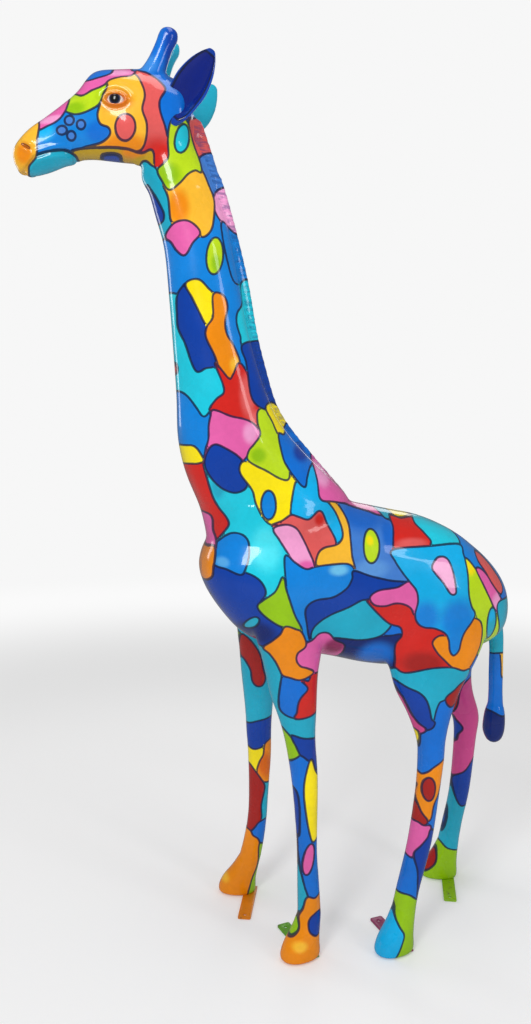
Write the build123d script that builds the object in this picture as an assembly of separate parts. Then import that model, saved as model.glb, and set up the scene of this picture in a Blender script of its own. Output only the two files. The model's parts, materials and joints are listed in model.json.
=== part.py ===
from build123d import *
from math import cos, pi, sin
import os

os.makedirs("parts", exist_ok=True)

# Life-like giraffe statue, hollow glass-fibre skin over a steel armature that ends in four anchor tabs.
# Millimetres. The giraffe looks along -Y, its left side is +X and the ground is Z = 0.

SKIN = 6.0
BLOCK = 8000.0
OVAL_POINTS = 16
HEAD_TURN = -8.0
HEAD_PIVOT = (0.0, -300.0, 0.0)

# Neck from the nape down into the body: front point (Y, Z), back point (Y, Z), half width in X.
NECK = [
    ((-375.0, 2262.0), (-246.0, 2290.0), 62.0),
    ((-362.0, 2170.0), (-200.0, 2212.0), 72.0),
    ((-343.0, 2090.0), (-168.0, 2128.0), 78.0),
    ((-319.0, 2000.0), (-136.0, 2036.0), 84.0),
    ((-307.0, 1865.0), (-108.0, 1900.0), 92.0),
    ((-298.0, 1735.0), (-82.0, 1770.0), 102.0),
    ((-290.0, 1600.0), (-46.0, 1642.0), 114.0),
    ((-287.0, 1480.0), (0.0, 1532.0), 128.0),
    ((-266.0, 1380.0), (74.0, 1440.0), 146.0),
    ((-226.0, 1280.0), (150.0, 1366.0), 166.0),
    ((-206.0, 1190.0), (205.0, 1306.0), 182.0),
    ((-190.0, 1120.0), (200.0, 1236.0), 165.0),
]

# Body from the breast to the rump: Y, lowest Z, highest Z, half width in X.
TORSO = [
    (-227.0, 1090.0, 1142.0, 40.0),
    (-207.0, 1042.0, 1186.0, 104.0),
    (-166.0, 980.0, 1228.0, 150.0),
    (-110.0, 920.0, 1262.0, 180.0),
    (-30.0, 884.0, 1292.0, 200.0),
    (60.0, 862.0, 1308.0, 210.0),
    (150.0, 840.0, 1306.0, 212.0),
    (240.0, 816.0, 1288.0, 210.0),
    (330.0, 804.0, 1269.0, 205.0),
    (420.0, 806.0, 1250.0, 200.0),
    (500.0, 820.0, 1217.0, 191.0),
    (560.0, 838.0, 1178.0, 178.0),
    (615.0, 852.0, 1134.0, 157.0),
    (660.0, 874.0, 1084.0, 122.0),
    (687.0, 906.0, 1036.0, 74.0),
    (696.0, 942.0, 1000.0, 30.0),
]

# Head from the back of the skull to the lips, before it is turned: lower point, upper point, half width.
HEAD = [
    ((-240.0, 2290.0), (-235.0, 2370.0), 45.0),
    ((-262.0, 2255.0), (-252.0, 2415.0), 78.0),
    ((-318.0, 2232.0), (-302.0, 2448.0), 94.0),
    ((-378.0, 2226.0), (-361.0, 2461.0), 101.0),
    ((-447.0, 2231.0), (-429.0, 2461.0), 99.0),
    ((-506.0, 2236.0), (-496.0, 2454.0), 88.0),
    ((-544.0, 2232.0), (-540.0, 2406.0), 76.0),
    ((-584.0, 2218.0), (-582.0, 2373.0), 67.0),
    ((-628.0, 2200.0), (-627.0, 2341.0), 61.0),
    ((-672.0, 2190.0), (-674.0, 2309.0), 57.0),
    ((-702.0, 2196.0), (-708.0, 2273.0), 47.0),
    ((-716.0, 2214.0), (-721.0, 2248.0), 26.0),
]

# Legs from the body down to the hoof: centre X, centre Y, Z, half width in X, half depth in Y.
LEGS = {
    "front_left": [
        (110.0, 0.0, 1080.0, 75.0, 115.0),
        (125.0, 0.0, 1000.0, 70.0, 105.0),
        (138.0, 9.0, 900.0, 62.0, 86.0),
        (150.0, 16.0, 780.0, 54.0, 69.0),
        (156.0, 26.0, 710.0, 46.0, 55.0),
        (161.0, 34.0, 640.0, 39.0, 44.0),
        (168.0, 46.0, 527.0, 36.0, 38.0),
        (171.0, 51.0, 408.0, 31.0, 32.0),
        (173.0, 53.0, 314.0, 29.0, 29.0),
        (174.0, 57.0, 211.0, 31.0, 32.0),
        (175.0, 60.0, 128.0, 33.0, 34.0),
    ],
    "front_right": [
        (-110.0, -10.0, 1080.0, 75.0, 110.0),
        (-122.0, -12.0, 1000.0, 68.0, 98.0),
        (-140.0, -25.0, 900.0, 58.0, 76.0),
        (-154.0, -31.0, 780.0, 50.0, 58.0),
        (-168.0, -28.0, 626.0, 40.0, 44.0),
        (-174.0, -27.0, 550.0, 37.0, 40.0),
        (-178.0, -24.0, 467.0, 34.0, 37.0),
        (-184.0, -26.0, 347.0, 30.0, 32.0),
        (-187.0, -30.0, 260.0, 30.0, 31.0),
        (-190.0, -40.0, 186.0, 31.0, 33.0),
        (-192.0, -52.0, 128.0, 33.0, 35.0),
    ],
    "rear_left": [
        (110.0, 440.0, 1050.0, 72.0, 170.0),
        (125.0, 440.0, 950.0, 72.0, 165.0),
        (138.0, 430.0, 850.0, 66.0, 138.0),
        (152.0, 414.0, 769.0, 58.0, 102.0),
        (164.0, 414.0, 697.0, 46.0, 67.0),
        (172.0, 417.0, 619.0, 37.0, 43.0),
        (177.0, 415.0, 560.0, 35.0, 39.0),
        (183.0, 405.0, 471.0, 32.0, 36.0),
        (189.0, 382.0, 322.0, 31.0, 36.0),
        (192.0, 350.0, 191.0, 32.0, 34.0),
        (193.0, 337.0, 128.0, 33.0, 35.0),
    ],
    "rear_right": [
        (-110.0, 440.0, 1050.0, 70.0, 160.0),
        (-120.0, 475.0, 950.0, 70.0, 150.0),
        (-135.0, 540.0, 850.0, 64.0, 122.0),
        (-146.0, 580.0, 769.0, 57.0, 92.0),
        (-154.0, 605.0, 700.0, 47.0, 67.0),
        (-159.0, 630.0, 640.0, 40.0, 52.0),
        (-163.0, 661.0, 560.0, 36.0, 45.0),
        (-166.0, 662.0, 480.0, 33.0, 37.0),
        (-171.0, 650.0, 310.0, 31.0, 34.0),
        (-175.0, 630.0, 200.0, 32.0, 33.0),
        (-176.0, 617.0, 128.0, 33.0, 35.0),
    ],
}

# Hooves: how far the toe reaches ahead of the ankle, and the splay about Z.
HOOF_TOP = 128.0
HOOF_REACH = {"front_left": 29.0, "front_right": 44.0, "rear_left": 32.0, "rear_right": 30.0}
TOE_SPLAY = 16.0

# Anchor tabs: flat bar, with the turn of each one from straight inwards.
TAB_WIDTH = 40.0
TAB_THICKNESS = 5.0
TAB_LENGTH = 190.0
TAB_INSIDE = 25.0
TAB_HOLE_RADIUS = 5.5
TAB_HOLE_FROM_END = 20.0
TAB_SWING = {"front_left": 16.0, "front_right": 16.0, "rear_left": 12.0, "rear_right": 18.0}

# Steel bars inside: radius, and the points of each bar (X, Y, Z).
POST_RADIUS = 10.0
CROSSBAR_RADIUS = 9.0
SPINE_RADIUS = 8.0
BAR_TOP = 1115.0
BAR_LEVEL = 1100.0
POSTS = {
    "front_left": [(175, 60, 140), (168, 46, 527), (140, 10, 880), (120, 5, 1000), (120, 5, BAR_TOP)],
    "front_right": [(-192, -52, 140), (-178, -24, 467), (-150, -30, 780), (-120, -10, 1000), (-120, -10, BAR_TOP)],
    "rear_left": [(193, 337, 140), (177, 415, 540), (150, 420, 800), (115, 430, 1000), (115, 430, BAR_TOP)],
    "rear_right": [(-176, 617, 140), (-165, 662, 520), (-150, 600, 720), (-115, 470, 1000), (-115, 470, BAR_TOP)],
}
NECK_BAR = [(0, -2, BAR_LEVEL), (0, -60, 1300), (0, -140, 1500), (0, -190, 1750), (0, -225, 2000), (0, -268, 2170)]

# Mane: outer edge from the nape to the withers (Y, Z), and its thickness.
MANE_EDGE = [
    (-212.0, 2350.0),
    (-171.0, 2228.0),
    (-137.0, 2122.0),
    (-106.0, 2007.0),
    (-80.0, 1893.0),
    (-60.0, 1777.0),
    (-35.0, 1677.0),
    (-4.0, 1576.0),
    (40.0, 1505.0),
    (98.0, 1437.0),
    (150.0, 1380.0),
    (196.0, 1326.0),
]
MANE_DEPTH = 60.0
MANE_HALF_THICKNESS = 17.0

# Tail: centre Y, Z, radius.
TAIL_STEM = [
    (640.0, 985.0, 30.0),
    (676.0, 915.0, 28.0),
    (687.0, 850.0, 25.0),
    (688.0, 780.0, 23.0),
    (689.0, 700.0, 22.0),
    (690.0, 645.0, 24.0),
]
TAIL_TUFT = [
    (690.0, 645.0, 24.0),
    (688.0, 610.0, 33.0),
    (686.0, 570.0, 34.0),
    (688.0, 540.0, 24.0),
    (689.0, 528.0, 9.0),
]

# Eyes, horns and ears, on the left side of the head before it is turned.
EYE_CENTRE = (80.0, -430.0, 2354.0)
EYE_RADIUS = 22.0
HORN_PATH = [
    (40.0, -350.0, 2425.0, 36.0),
    (42.0, -328.0, 2468.0, 28.0),
    (43.0, -311.0, 2508.0, 25.0),
    (44.0, -298.0, 2535.0, 27.0),
    (44.0, -293.0, 2550.0, 22.0),
    (44.0, -291.0, 2557.0, 12.0),
]
EAR_BASE = (69.0, -302.0, 2316.0)
EAR_TIP = (134.0, -179.0, 2472.0)
EAR_CUP_FACING = (0.9, -0.42, 0.0)
EAR_SHAPE = [
    (0.00, 30.0, 22.0),
    (0.15, 45.0, 25.0),
    (0.35, 54.0, 26.0),
    (0.55, 57.0, 24.0),
    (0.75, 46.0, 20.0),
    (0.90, 28.0, 13.0),
    (1.00, 9.0, 6.0),
]
EAR_RIM = 8.0
EAR_CUP_SHIFT = 17.0


def largest(shape):
    """The largest solid of a result."""
    return max(shape.solids(), key=lambda solid: solid.volume)


def oval(plane, half_x, half_y):
    """Smooth closed oval on a plane, always starting on its local X axis."""
    points = []
    for step in range(OVAL_POINTS):
        angle = 2 * pi * step / OVAL_POINTS
        points.append(plane.from_local_coords((half_x * cos(angle), half_y * sin(angle), 0)))
    return Wire([Edge.make_spline(points, periodic=True)])


def tube(sections, thickness=0.0):
    """Smooth solid through side-view sections, drawn in all round by the thickness."""
    lows = [Vector(0, *lower) for lower, upper, half_width in sections]
    highs = [Vector(0, *upper) for lower, upper, half_width in sections]
    middles = [(low + high) / 2 for low, high in zip(lows, highs)]
    shifts = [Vector(0, 0, 0)] * len(sections)
    shifts[0] = (middles[1] - middles[0]).normalized() * thickness
    shifts[-1] = (middles[-2] - middles[-1]).normalized() * thickness
    wires = []
    for index, (lower, upper, half_width) in enumerate(sections):
        along = highs[index] - lows[index]
        normal = Vector(1, 0, 0).cross(along)
        plane = Plane(origin=middles[index] + shifts[index], x_dir=(1, 0, 0), z_dir=normal)
        wires.append(oval(plane, half_width - thickness, along.length / 2 - thickness))
    return Solid.make_loft(wires)


def level_plane(x, y, z, turn=0.0):
    """Level plane, turned about the vertical."""
    return Plane(Pos(x, y, z) * Rot(0, 0, turn))


def leg_tube(sections, thickness=0.0):
    """Smooth solid through level leg sections, drawn in by the thickness and then run on below."""
    wires = []
    for x, y, z, half_x, half_y in sections:
        wires.append(oval(level_plane(x, y, z), half_x - thickness, half_y - thickness))
    if thickness:
        wires.append(oval(level_plane(x, y, z - thickness), half_x - thickness, half_y - thickness))
    return Solid.make_loft(wires)


def round_bar(points, radius):
    """Round bar that follows a chain of points."""
    pieces = []
    for start, end in zip(points[:-1], points[1:]):
        run = Vector(*end) - Vector(*start)
        pieces.append(Solid.make_cylinder(radius, run.length, Plane(origin=start, z_dir=run)))
    for corner in points[1:-1]:
        pieces.append(Pos(*corner) * Sphere(radius))
    if len(pieces) == 1:
        return pieces[0]
    return largest(pieces[0].fuse(*pieces[1:]))


def turned(shape):
    """A piece of the head, turned with it."""
    return shape.rotate(Axis(HEAD_PIVOT, (0, 0, 1)), HEAD_TURN)


def above(plane):
    """Everything on the upper side of a plane, as one large block."""
    return plane * (Pos(0, 0, BLOCK / 2) * Box(BLOCK, BLOCK, BLOCK))


def half(shape, side):
    """The left or right half of a shape about the middle plane."""
    right_block = above(Plane(origin=(0, 0, 0), z_dir=(-1, 0, 0)))
    left_block = above(Plane(origin=(0, 0, 0), z_dir=(1, 0, 0)))
    return largest(shape - (right_block if side == "left" else left_block))


def side_of(leg):
    return 1.0 if leg.endswith("left") else -1.0


def save(shape, node):
    """Write one node, as a single solid where it is one."""
    solids = shape.solids()
    solids.sort(key=lambda solid: solid.volume)
    export_step(solids[-1], f"parts/{node}.step")
    if len(solids) > 1:
        print(node, "dropped", [round(solid.volume, 1) for solid in solids[:-1]])


def hoof_solid(leg):
    """Hoof with its flat sole, before the steel is let into it."""
    x, y, top, half_x, half_y = LEGS[leg][-1]
    reach = HOOF_REACH[leg]
    turn = TOE_SPLAY * side_of(leg)
    stations = [
        (0.0, HOOF_TOP, half_x, half_y),
        (0.40 * reach, 88.0, half_x + 3, half_y + 8),
        (0.85 * reach, 48.0, half_x + 8, half_y + 20),
        (reach, 14.0, half_x + 11, half_y + 26),
        (reach, 0.0, half_x + 9, half_y + 24),
    ]
    wires = []
    for ahead, z, radius_x, radius_y in stations:
        toe = Vector(0, -ahead, 0).rotate(Axis.Z, turn)
        wires.append(oval(level_plane(x + toe.X, y + toe.Y, z, turn), radius_x, radius_y))
    return Solid.make_loft(wires)


def tab_place(leg):
    """Where a tab starts, under the post, with its length running inwards along local X."""
    x, y = LEGS[leg][-1][:2]
    inwards = 180.0 + TAB_SWING[leg] if leg.endswith("left") else -TAB_SWING[leg]
    return Pos(x, y, 0) * Rot(0, 0, inwards)


def foot_tab(leg):
    """Flat anchor bar with one round hole near its free end."""
    bar = Pos(TAB_LENGTH / 2 - TAB_INSIDE, 0, TAB_THICKNESS / 2) * Box(TAB_LENGTH, TAB_WIDTH, TAB_THICKNESS)
    free_end = TAB_LENGTH - TAB_INSIDE
    corners = bar.edges().filter_by(Axis.Z).group_by(Axis.X)[-1]
    bar = fillet(corners, 6.0)
    hole_at = free_end - TAB_HOLE_FROM_END
    hole = Pos(hole_at, 0, TAB_THICKNESS / 2) * Cylinder(TAB_HOLE_RADIUS, 3 * TAB_THICKNESS)
    return tab_place(leg) * (bar - hole)


def leg_post(leg):
    """Upright bar from the tab, through the hoof and leg, into the body."""
    x, y = LEGS[leg][-1][:2]
    return round_bar([(x, y, TAB_THICKNESS)] + POSTS[leg], POST_RADIUS)


def mane_blank():
    """Upright crest along the back of the neck, running well into it."""
    outer = Spline([(y, z) for y, z in MANE_EDGE])
    inner = Spline([(y - MANE_DEPTH, z - 0.35 * MANE_DEPTH) for y, z in MANE_EDGE])
    top = Line(outer @ 0, inner @ 0)
    foot = Line(outer @ 1, inner @ 1)
    sheet = make_face([outer, foot, inner, top])
    return extrude(Plane.YZ * sheet, MANE_HALF_THICKNESS, both=True)


def round_loft(stations):
    """Round tapering solid that hangs in the middle plane."""
    return Solid.make_loft([oval(level_plane(0, y, z), radius, radius) for y, z, radius in stations])


def horn_solid():
    """Left horn, a thick rod that leans back to a rounded knob."""
    lean = Vector(*HORN_PATH[-1][:3]) - Vector(*HORN_PATH[0][:3])
    wires = []
    for x, y, z, radius in HORN_PATH:
        wires.append(oval(Plane(origin=(x, y, z), x_dir=(1, 0, 0), z_dir=lean), radius, radius))
    return Solid.make_loft(wires)


def ear_blade(grow, shift):
    """Leaf of the left ear, grown and shifted along the way the cup faces."""
    base = Vector(*EAR_BASE)
    run = Vector(*EAR_TIP) - base
    facing = Vector(*EAR_CUP_FACING)
    facing = (facing - run * (facing.dot(run) / run.dot(run))).normalized()
    across = run.cross(facing)
    wires = []
    for along, half_width, half_depth in EAR_SHAPE:
        centre = base + run * along + facing * shift
        plane = Plane(origin=centre, x_dir=across, z_dir=run)
        wires.append(oval(plane, half_width + grow, half_depth + grow))
    return Solid.make_loft(wires)


def ear_solid():
    """Left ear with its hollow cup."""
    cup = ear_blade(-0.45 * EAR_RIM, EAR_CUP_SHIFT)
    root = Pos(*EAR_BASE) * Sphere(34)
    return ear_blade(0.0, 0.0) - (cup - root)


def build():
    body = [((y, low), (y, high), half_width) for y, low, high, half_width in TORSO]
    torso_outer = tube(body)
    neck_outer = tube(NECK)
    head_outer = tube(HEAD)
    head_hollow = head_outer - tube(HEAD, SKIN)
    turned_head = turned(head_outer)

    posts = {leg: leg_post(leg) for leg in LEGS}
    neck_bar = round_bar(NECK_BAR, SPINE_RADIUS)
    neck = largest(neck_outer - tube(NECK, SKIN) - torso_outer - turned_head)
    torso = largest(torso_outer - tube(body, SKIN))
    for bar in list(posts.values()) + [neck_bar]:
        torso = largest(torso - bar)

    eye = Pos(*EYE_CENTRE) * Sphere(EYE_RADIUS)
    for side in ("left", "right"):
        mirrored = (lambda shape: shape) if side == "left" else (lambda shape: shape.mirror(Plane.YZ))
        save(half(torso, side), f"torso_{side}_shell")
        save(half(neck, side), f"neck_{side}_shell")
        save(turned(half(head_hollow, side) - mirrored(eye)), f"head_{side}_shell")
        save(turned(mirrored(eye)), f"eye_{side}")
        save(turned(mirrored(horn_solid()) - head_outer), f"horn_{side}")
        save(turned(mirrored(ear_solid()) - head_outer) - neck_outer, f"ear_{side}")

    for leg, sections in LEGS.items():
        shell = leg_tube(sections) - leg_tube(sections, SKIN) - torso_outer - neck_outer
        save(shell, f"{leg}_leg_shell")
        tab = foot_tab(leg)
        save(tab, f"tab_{leg}")
        save(posts[leg], f"post_{leg}")
        save(hoof_solid(leg) - posts[leg] - tab, f"hoof_{leg}")

    shoulder_ends = [POSTS["front_left"][-2], POSTS["front_right"][-2]]
    shoulder = round_bar([(x, y, BAR_LEVEL) for x, y, z in shoulder_ends], CROSSBAR_RADIUS)
    hip_ends = [POSTS["rear_left"][-2], POSTS["rear_right"][-2]]
    hip = round_bar([(x, y, BAR_LEVEL) for x, y, z in hip_ends], CROSSBAR_RADIUS)
    spine = round_bar([(0, -2, BAR_LEVEL), (0, 450, BAR_LEVEL)], SPINE_RADIUS) - shoulder - hip
    save(shoulder - posts["front_left"] - posts["front_right"], "shoulder_bar")
    save(hip - posts["rear_left"] - posts["rear_right"], "hip_bar")
    save(spine, "spine_bar")
    save(neck_bar - shoulder - spine, "neck_bar")

    save(mane_blank() - torso_outer - neck_outer - turned_head, "mane_ridge")
    save(round_loft(TAIL_STEM) - torso_outer, "tail_stem")
    save(round_loft(TAIL_TUFT), "tail_tuft")


build()
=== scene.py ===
import json
import math
import random

import bpy
import numpy as np
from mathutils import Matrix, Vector
from mathutils.bvhtree import BVHTree

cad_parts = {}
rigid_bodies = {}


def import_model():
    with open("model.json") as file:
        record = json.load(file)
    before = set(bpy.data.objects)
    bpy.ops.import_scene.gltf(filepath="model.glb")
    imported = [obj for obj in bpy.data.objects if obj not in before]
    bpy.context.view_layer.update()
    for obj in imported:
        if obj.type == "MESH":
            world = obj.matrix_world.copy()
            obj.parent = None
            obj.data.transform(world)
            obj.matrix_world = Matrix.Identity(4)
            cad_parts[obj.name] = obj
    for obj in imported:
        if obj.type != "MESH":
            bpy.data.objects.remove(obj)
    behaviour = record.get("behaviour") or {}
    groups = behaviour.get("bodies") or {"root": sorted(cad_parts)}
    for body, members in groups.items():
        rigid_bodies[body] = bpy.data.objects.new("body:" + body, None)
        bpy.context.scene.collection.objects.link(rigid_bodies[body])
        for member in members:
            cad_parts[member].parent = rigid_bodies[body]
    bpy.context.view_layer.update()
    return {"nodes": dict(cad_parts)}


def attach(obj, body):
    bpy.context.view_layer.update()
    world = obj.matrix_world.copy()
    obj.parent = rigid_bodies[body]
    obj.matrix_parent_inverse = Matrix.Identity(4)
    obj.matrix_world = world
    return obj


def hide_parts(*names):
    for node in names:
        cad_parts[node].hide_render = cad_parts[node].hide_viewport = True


for _spare in list(bpy.data.objects):
    bpy.data.objects.remove(_spare, do_unlink=True)
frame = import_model()

bl_info = {
    "name": "Painted Giraffe Statue",
    "version": (1, 0, 0),
    "blender": (4, 5, 0),
    "location": "View3D > Sidebar > Giraffe",
    "description": "Builds a painted fibreglass giraffe statue piece by piece",
    "category": "Object",
}

CM = 0.01
MM = 0.001
BODY = "root"
SIDES = (("left", 1), ("right", -1))

# The head is turned about an upright line through the top of the neck.
HEAD_TURN = math.radians(-8.0)
HEAD_PIVOT_Y = -0.300

# ---------------------------------------------------------------- section tables (mm)
# Neck and head: the section's two ends in the middle plane as (y, z), and its half width.
NECK = [
    ((-375, 2262), (-246, 2290), 62), ((-362, 2170), (-200, 2212), 72),
    ((-343, 2090), (-168, 2128), 78), ((-319, 2000), (-136, 2036), 84),
    ((-307, 1865), (-108, 1900), 92), ((-298, 1735), (-82, 1770), 102),
    ((-290, 1600), (-46, 1642), 114), ((-287, 1480), (0, 1532), 128),
    ((-266, 1380), (74, 1440), 146), ((-226, 1280), (150, 1366), 166),
    ((-206, 1190), (205, 1306), 182), ((-190, 1120), (200, 1236), 165),
]
# Torso: y, lowest z, highest z, half width.
TORSO = [
    (-227, 1090, 1142, 40), (-207, 1042, 1186, 104), (-166, 980, 1228, 150),
    (-110, 920, 1262, 180), (-30, 884, 1292, 200), (60, 862, 1308, 210),
    (150, 840, 1306, 212), (240, 816, 1288, 210), (330, 804, 1269, 205),
    (420, 806, 1250, 200), (500, 820, 1217, 191), (560, 838, 1178, 178),
    (615, 852, 1134, 157), (660, 874, 1084, 122), (687, 906, 1036, 74),
    (696, 942, 1000, 30),
]
HEAD = [
    ((-240, 2290), (-235, 2370), 45), ((-262, 2255), (-252, 2415), 78),
    ((-318, 2232), (-302, 2448), 94), ((-378, 2226), (-361, 2461), 101),
    ((-447, 2231), (-429, 2461), 99), ((-506, 2236), (-496, 2454), 88),
    ((-544, 2232), (-540, 2406), 76), ((-584, 2218), (-582, 2373), 67),
    ((-628, 2200), (-627, 2341), 61), ((-672, 2190), (-674, 2309), 57),
    ((-702, 2196), (-708, 2273), 47), ((-716, 2214), (-721, 2248), 26),
]
# Legs: x, y, z, half size across, half size along.
LEGS = {
    "front_left": [
        (110, 0, 1080, 75, 115), (125, 0, 1000, 70, 105), (138, 9, 900, 62, 86),
        (150, 16, 780, 54, 69), (156, 26, 710, 46, 55), (161, 34, 640, 39, 44),
        (168, 46, 527, 36, 38), (171, 51, 408, 31, 32), (173, 53, 314, 29, 29),
        (174, 57, 211, 31, 32), (175, 60, 128, 33, 34),
    ],
    "front_right": [
        (-110, -10, 1080, 75, 110), (-122, -12, 1000, 68, 98), (-140, -25, 900, 58, 76),
        (-154, -31, 780, 50, 58), (-168, -28, 626, 40, 44), (-174, -27, 550, 37, 40),
        (-178, -24, 467, 34, 37), (-184, -26, 347, 30, 32), (-187, -30, 260, 30, 31),
        (-190, -40, 186, 31, 33), (-192, -52, 128, 33, 35),
    ],
    "rear_left": [
        (110, 440, 1050, 72, 170), (125, 440, 950, 72, 165), (138, 430, 850, 66, 138),
        (152, 414, 769, 58, 102), (164, 414, 697, 46, 67), (172, 417, 619, 37, 43),
        (177, 415, 560, 35, 39), (183, 405, 471, 32, 36), (189, 382, 322, 31, 36),
        (192, 350, 191, 32, 34), (193, 337, 128, 33, 35),
    ],
    "rear_right": [
        (-110, 440, 1050, 70, 160), (-120, 475, 950, 70, 150), (-135, 540, 850, 64, 122),
        (-146, 580, 769, 57, 92), (-154, 605, 700, 47, 67), (-159, 630, 640, 40, 52),
        (-163, 661, 560, 36, 45), (-166, 662, 480, 33, 37), (-171, 650, 310, 31, 34),
        (-175, 630, 200, 32, 33), (-176, 617, 128, 33, 35),
    ],
}
HOOF_REACH = {"front_left": 29, "front_right": 44, "rear_left": 32, "rear_right": 30}
HOOF_SPLAY = math.radians(16.0)
MANE_EDGE = [
    (-212, 2350), (-171, 2228), (-137, 2122), (-106, 2007), (-80, 1893), (-60, 1777),
    (-35, 1677), (-4, 1576), (40, 1505), (98, 1437), (150, 1380), (196, 1326),
]
MANE_DEPTH = 60
MANE_HALF = 17
# Tail: y, z, radius. Horn: x, y, z, radius. Ear: share of its length, half width, depth.
TAIL_STEM = [
    (640, 985, 30), (676, 915, 28), (687, 850, 25), (688, 780, 23), (689, 700, 22), (690, 645, 24),
]
TAIL_TUFT = [
    (690, 655, 22), (689, 635, 29), (688, 610, 33), (686, 570, 34), (688, 540, 24), (689, 528, 9),
]
HORN = [
    (40, -350, 2425, 36), (42, -328, 2468, 28), (43, -311, 2508, 25), (44, -298, 2535, 27),
    (44, -293, 2550, 22), (44, -291, 2557, 12),
]
EAR_BASE = (69, -302, 2316)
EAR_TIP = (134, -179, 2472)
EAR_FACING = (0.9, -0.42, 0.0)
EAR_SHAPE = [
    (0.0, 30, 22), (0.15, 45, 25), (0.35, 54, 26), (0.55, 57, 24), (0.75, 46, 20),
    (0.90, 28, 13), (1.0, 9, 6),
]
EYE_CENTRE = (75.5, -432, 2360)
EYE_RADIUS = 28
# A section's squareness: 2 is round, and more is squarer.
TORSO_SQUARENESS = 2.2
NECK_SQUARENESS = 2.1
HEAD_SQUARENESS = 2.3
MANE_SQUARENESS = 3.0
HOOF_SQUARENESS = 2.2

# ---------------------------------------------------------------- colours (display values)
NAVY = (0, 62, 165)
# DEEP: a navy darkened to painted shade, used on the undersides of the belly and the breast; it is also the
# colour of the tail tuft's lower part.
DEEP = (8, 36, 110)
MID = (0, 132, 222)
BLUE = (0, 112, 214)
SKY = (0, 180, 240)
VIOLET = (66, 128, 212)
CYAN = (22, 205, 228)
TEAL = (24, 172, 202)
ORANGE = (244, 142, 0)
AMBER = (253, 190, 48)
YELLOW = (255, 232, 0)
LIME = (192, 226, 22)
GREEN = (150, 200, 4)
RED = (214, 34, 26)
CRIMSON = (168, 28, 24)
CORAL = (228, 92, 90)
PINK = (232, 98, 172)
ROSE = (212, 72, 142)
BLUSH = (244, 160, 210)
OLIVE = (196, 158, 26)
PLUM = (150, 44, 96)
OUTLINE = (16, 26, 62)
PUPIL = (14, 12, 14)
EYE_WHITE = (244, 240, 232)
MANE_SHADE = (18, 60, 120)
RAW_FIBREGLASS = (176, 178, 168)
EAR_COLOURS = {"left": ((6, 32, 128), (8, 64, 168)), "right": ((0, 120, 150), (28, 176, 204))}
TAB_COLOURS = {
    "front_left": (96, 168, 16), "front_right": (226, 130, 4),
    "rear_left": (150, 44, 96), "rear_right": (150, 200, 12),
}
TAB_CHIPS = (92, 70, 58)
FRAME_STEEL = (150, 152, 156)
FRAME_RUST = (120, 66, 36)
# The colours that the far side's own patches are dealt from.
RIGHT_PALETTE = [
    MID, SKY, CYAN, TEAL, ORANGE, AMBER, YELLOW, LIME, GREEN, RED, CORAL, PINK, BLUSH, VIOLET,
]

# Under the patches the coat is BLUE on the legs and turns to MID round this height, in centimetres.
BASE_CHANGE = 104.0
BASE_CHANGE_HALF = 3.0


def patch(colour, *points, both=False, tones=(), right=None):
    """A painted patch: its outline as (along, up) in centimetres, seen from the statue's left."""
    return {"colour": colour, "points": points, "both": both, "tones": tones, "right": right, "thin": 1.0}


def oval(colour, centre, half, tilt=0.0, both=False, tones=(), thin=1.0):
    """An oval patch: centre, half sizes, tilt in degrees, and how many times finer its line is."""
    return {"colour": colour, "oval": (centre, half, tilt), "both": both, "tones": tones, "right": None,
            "thin": thin}
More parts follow.
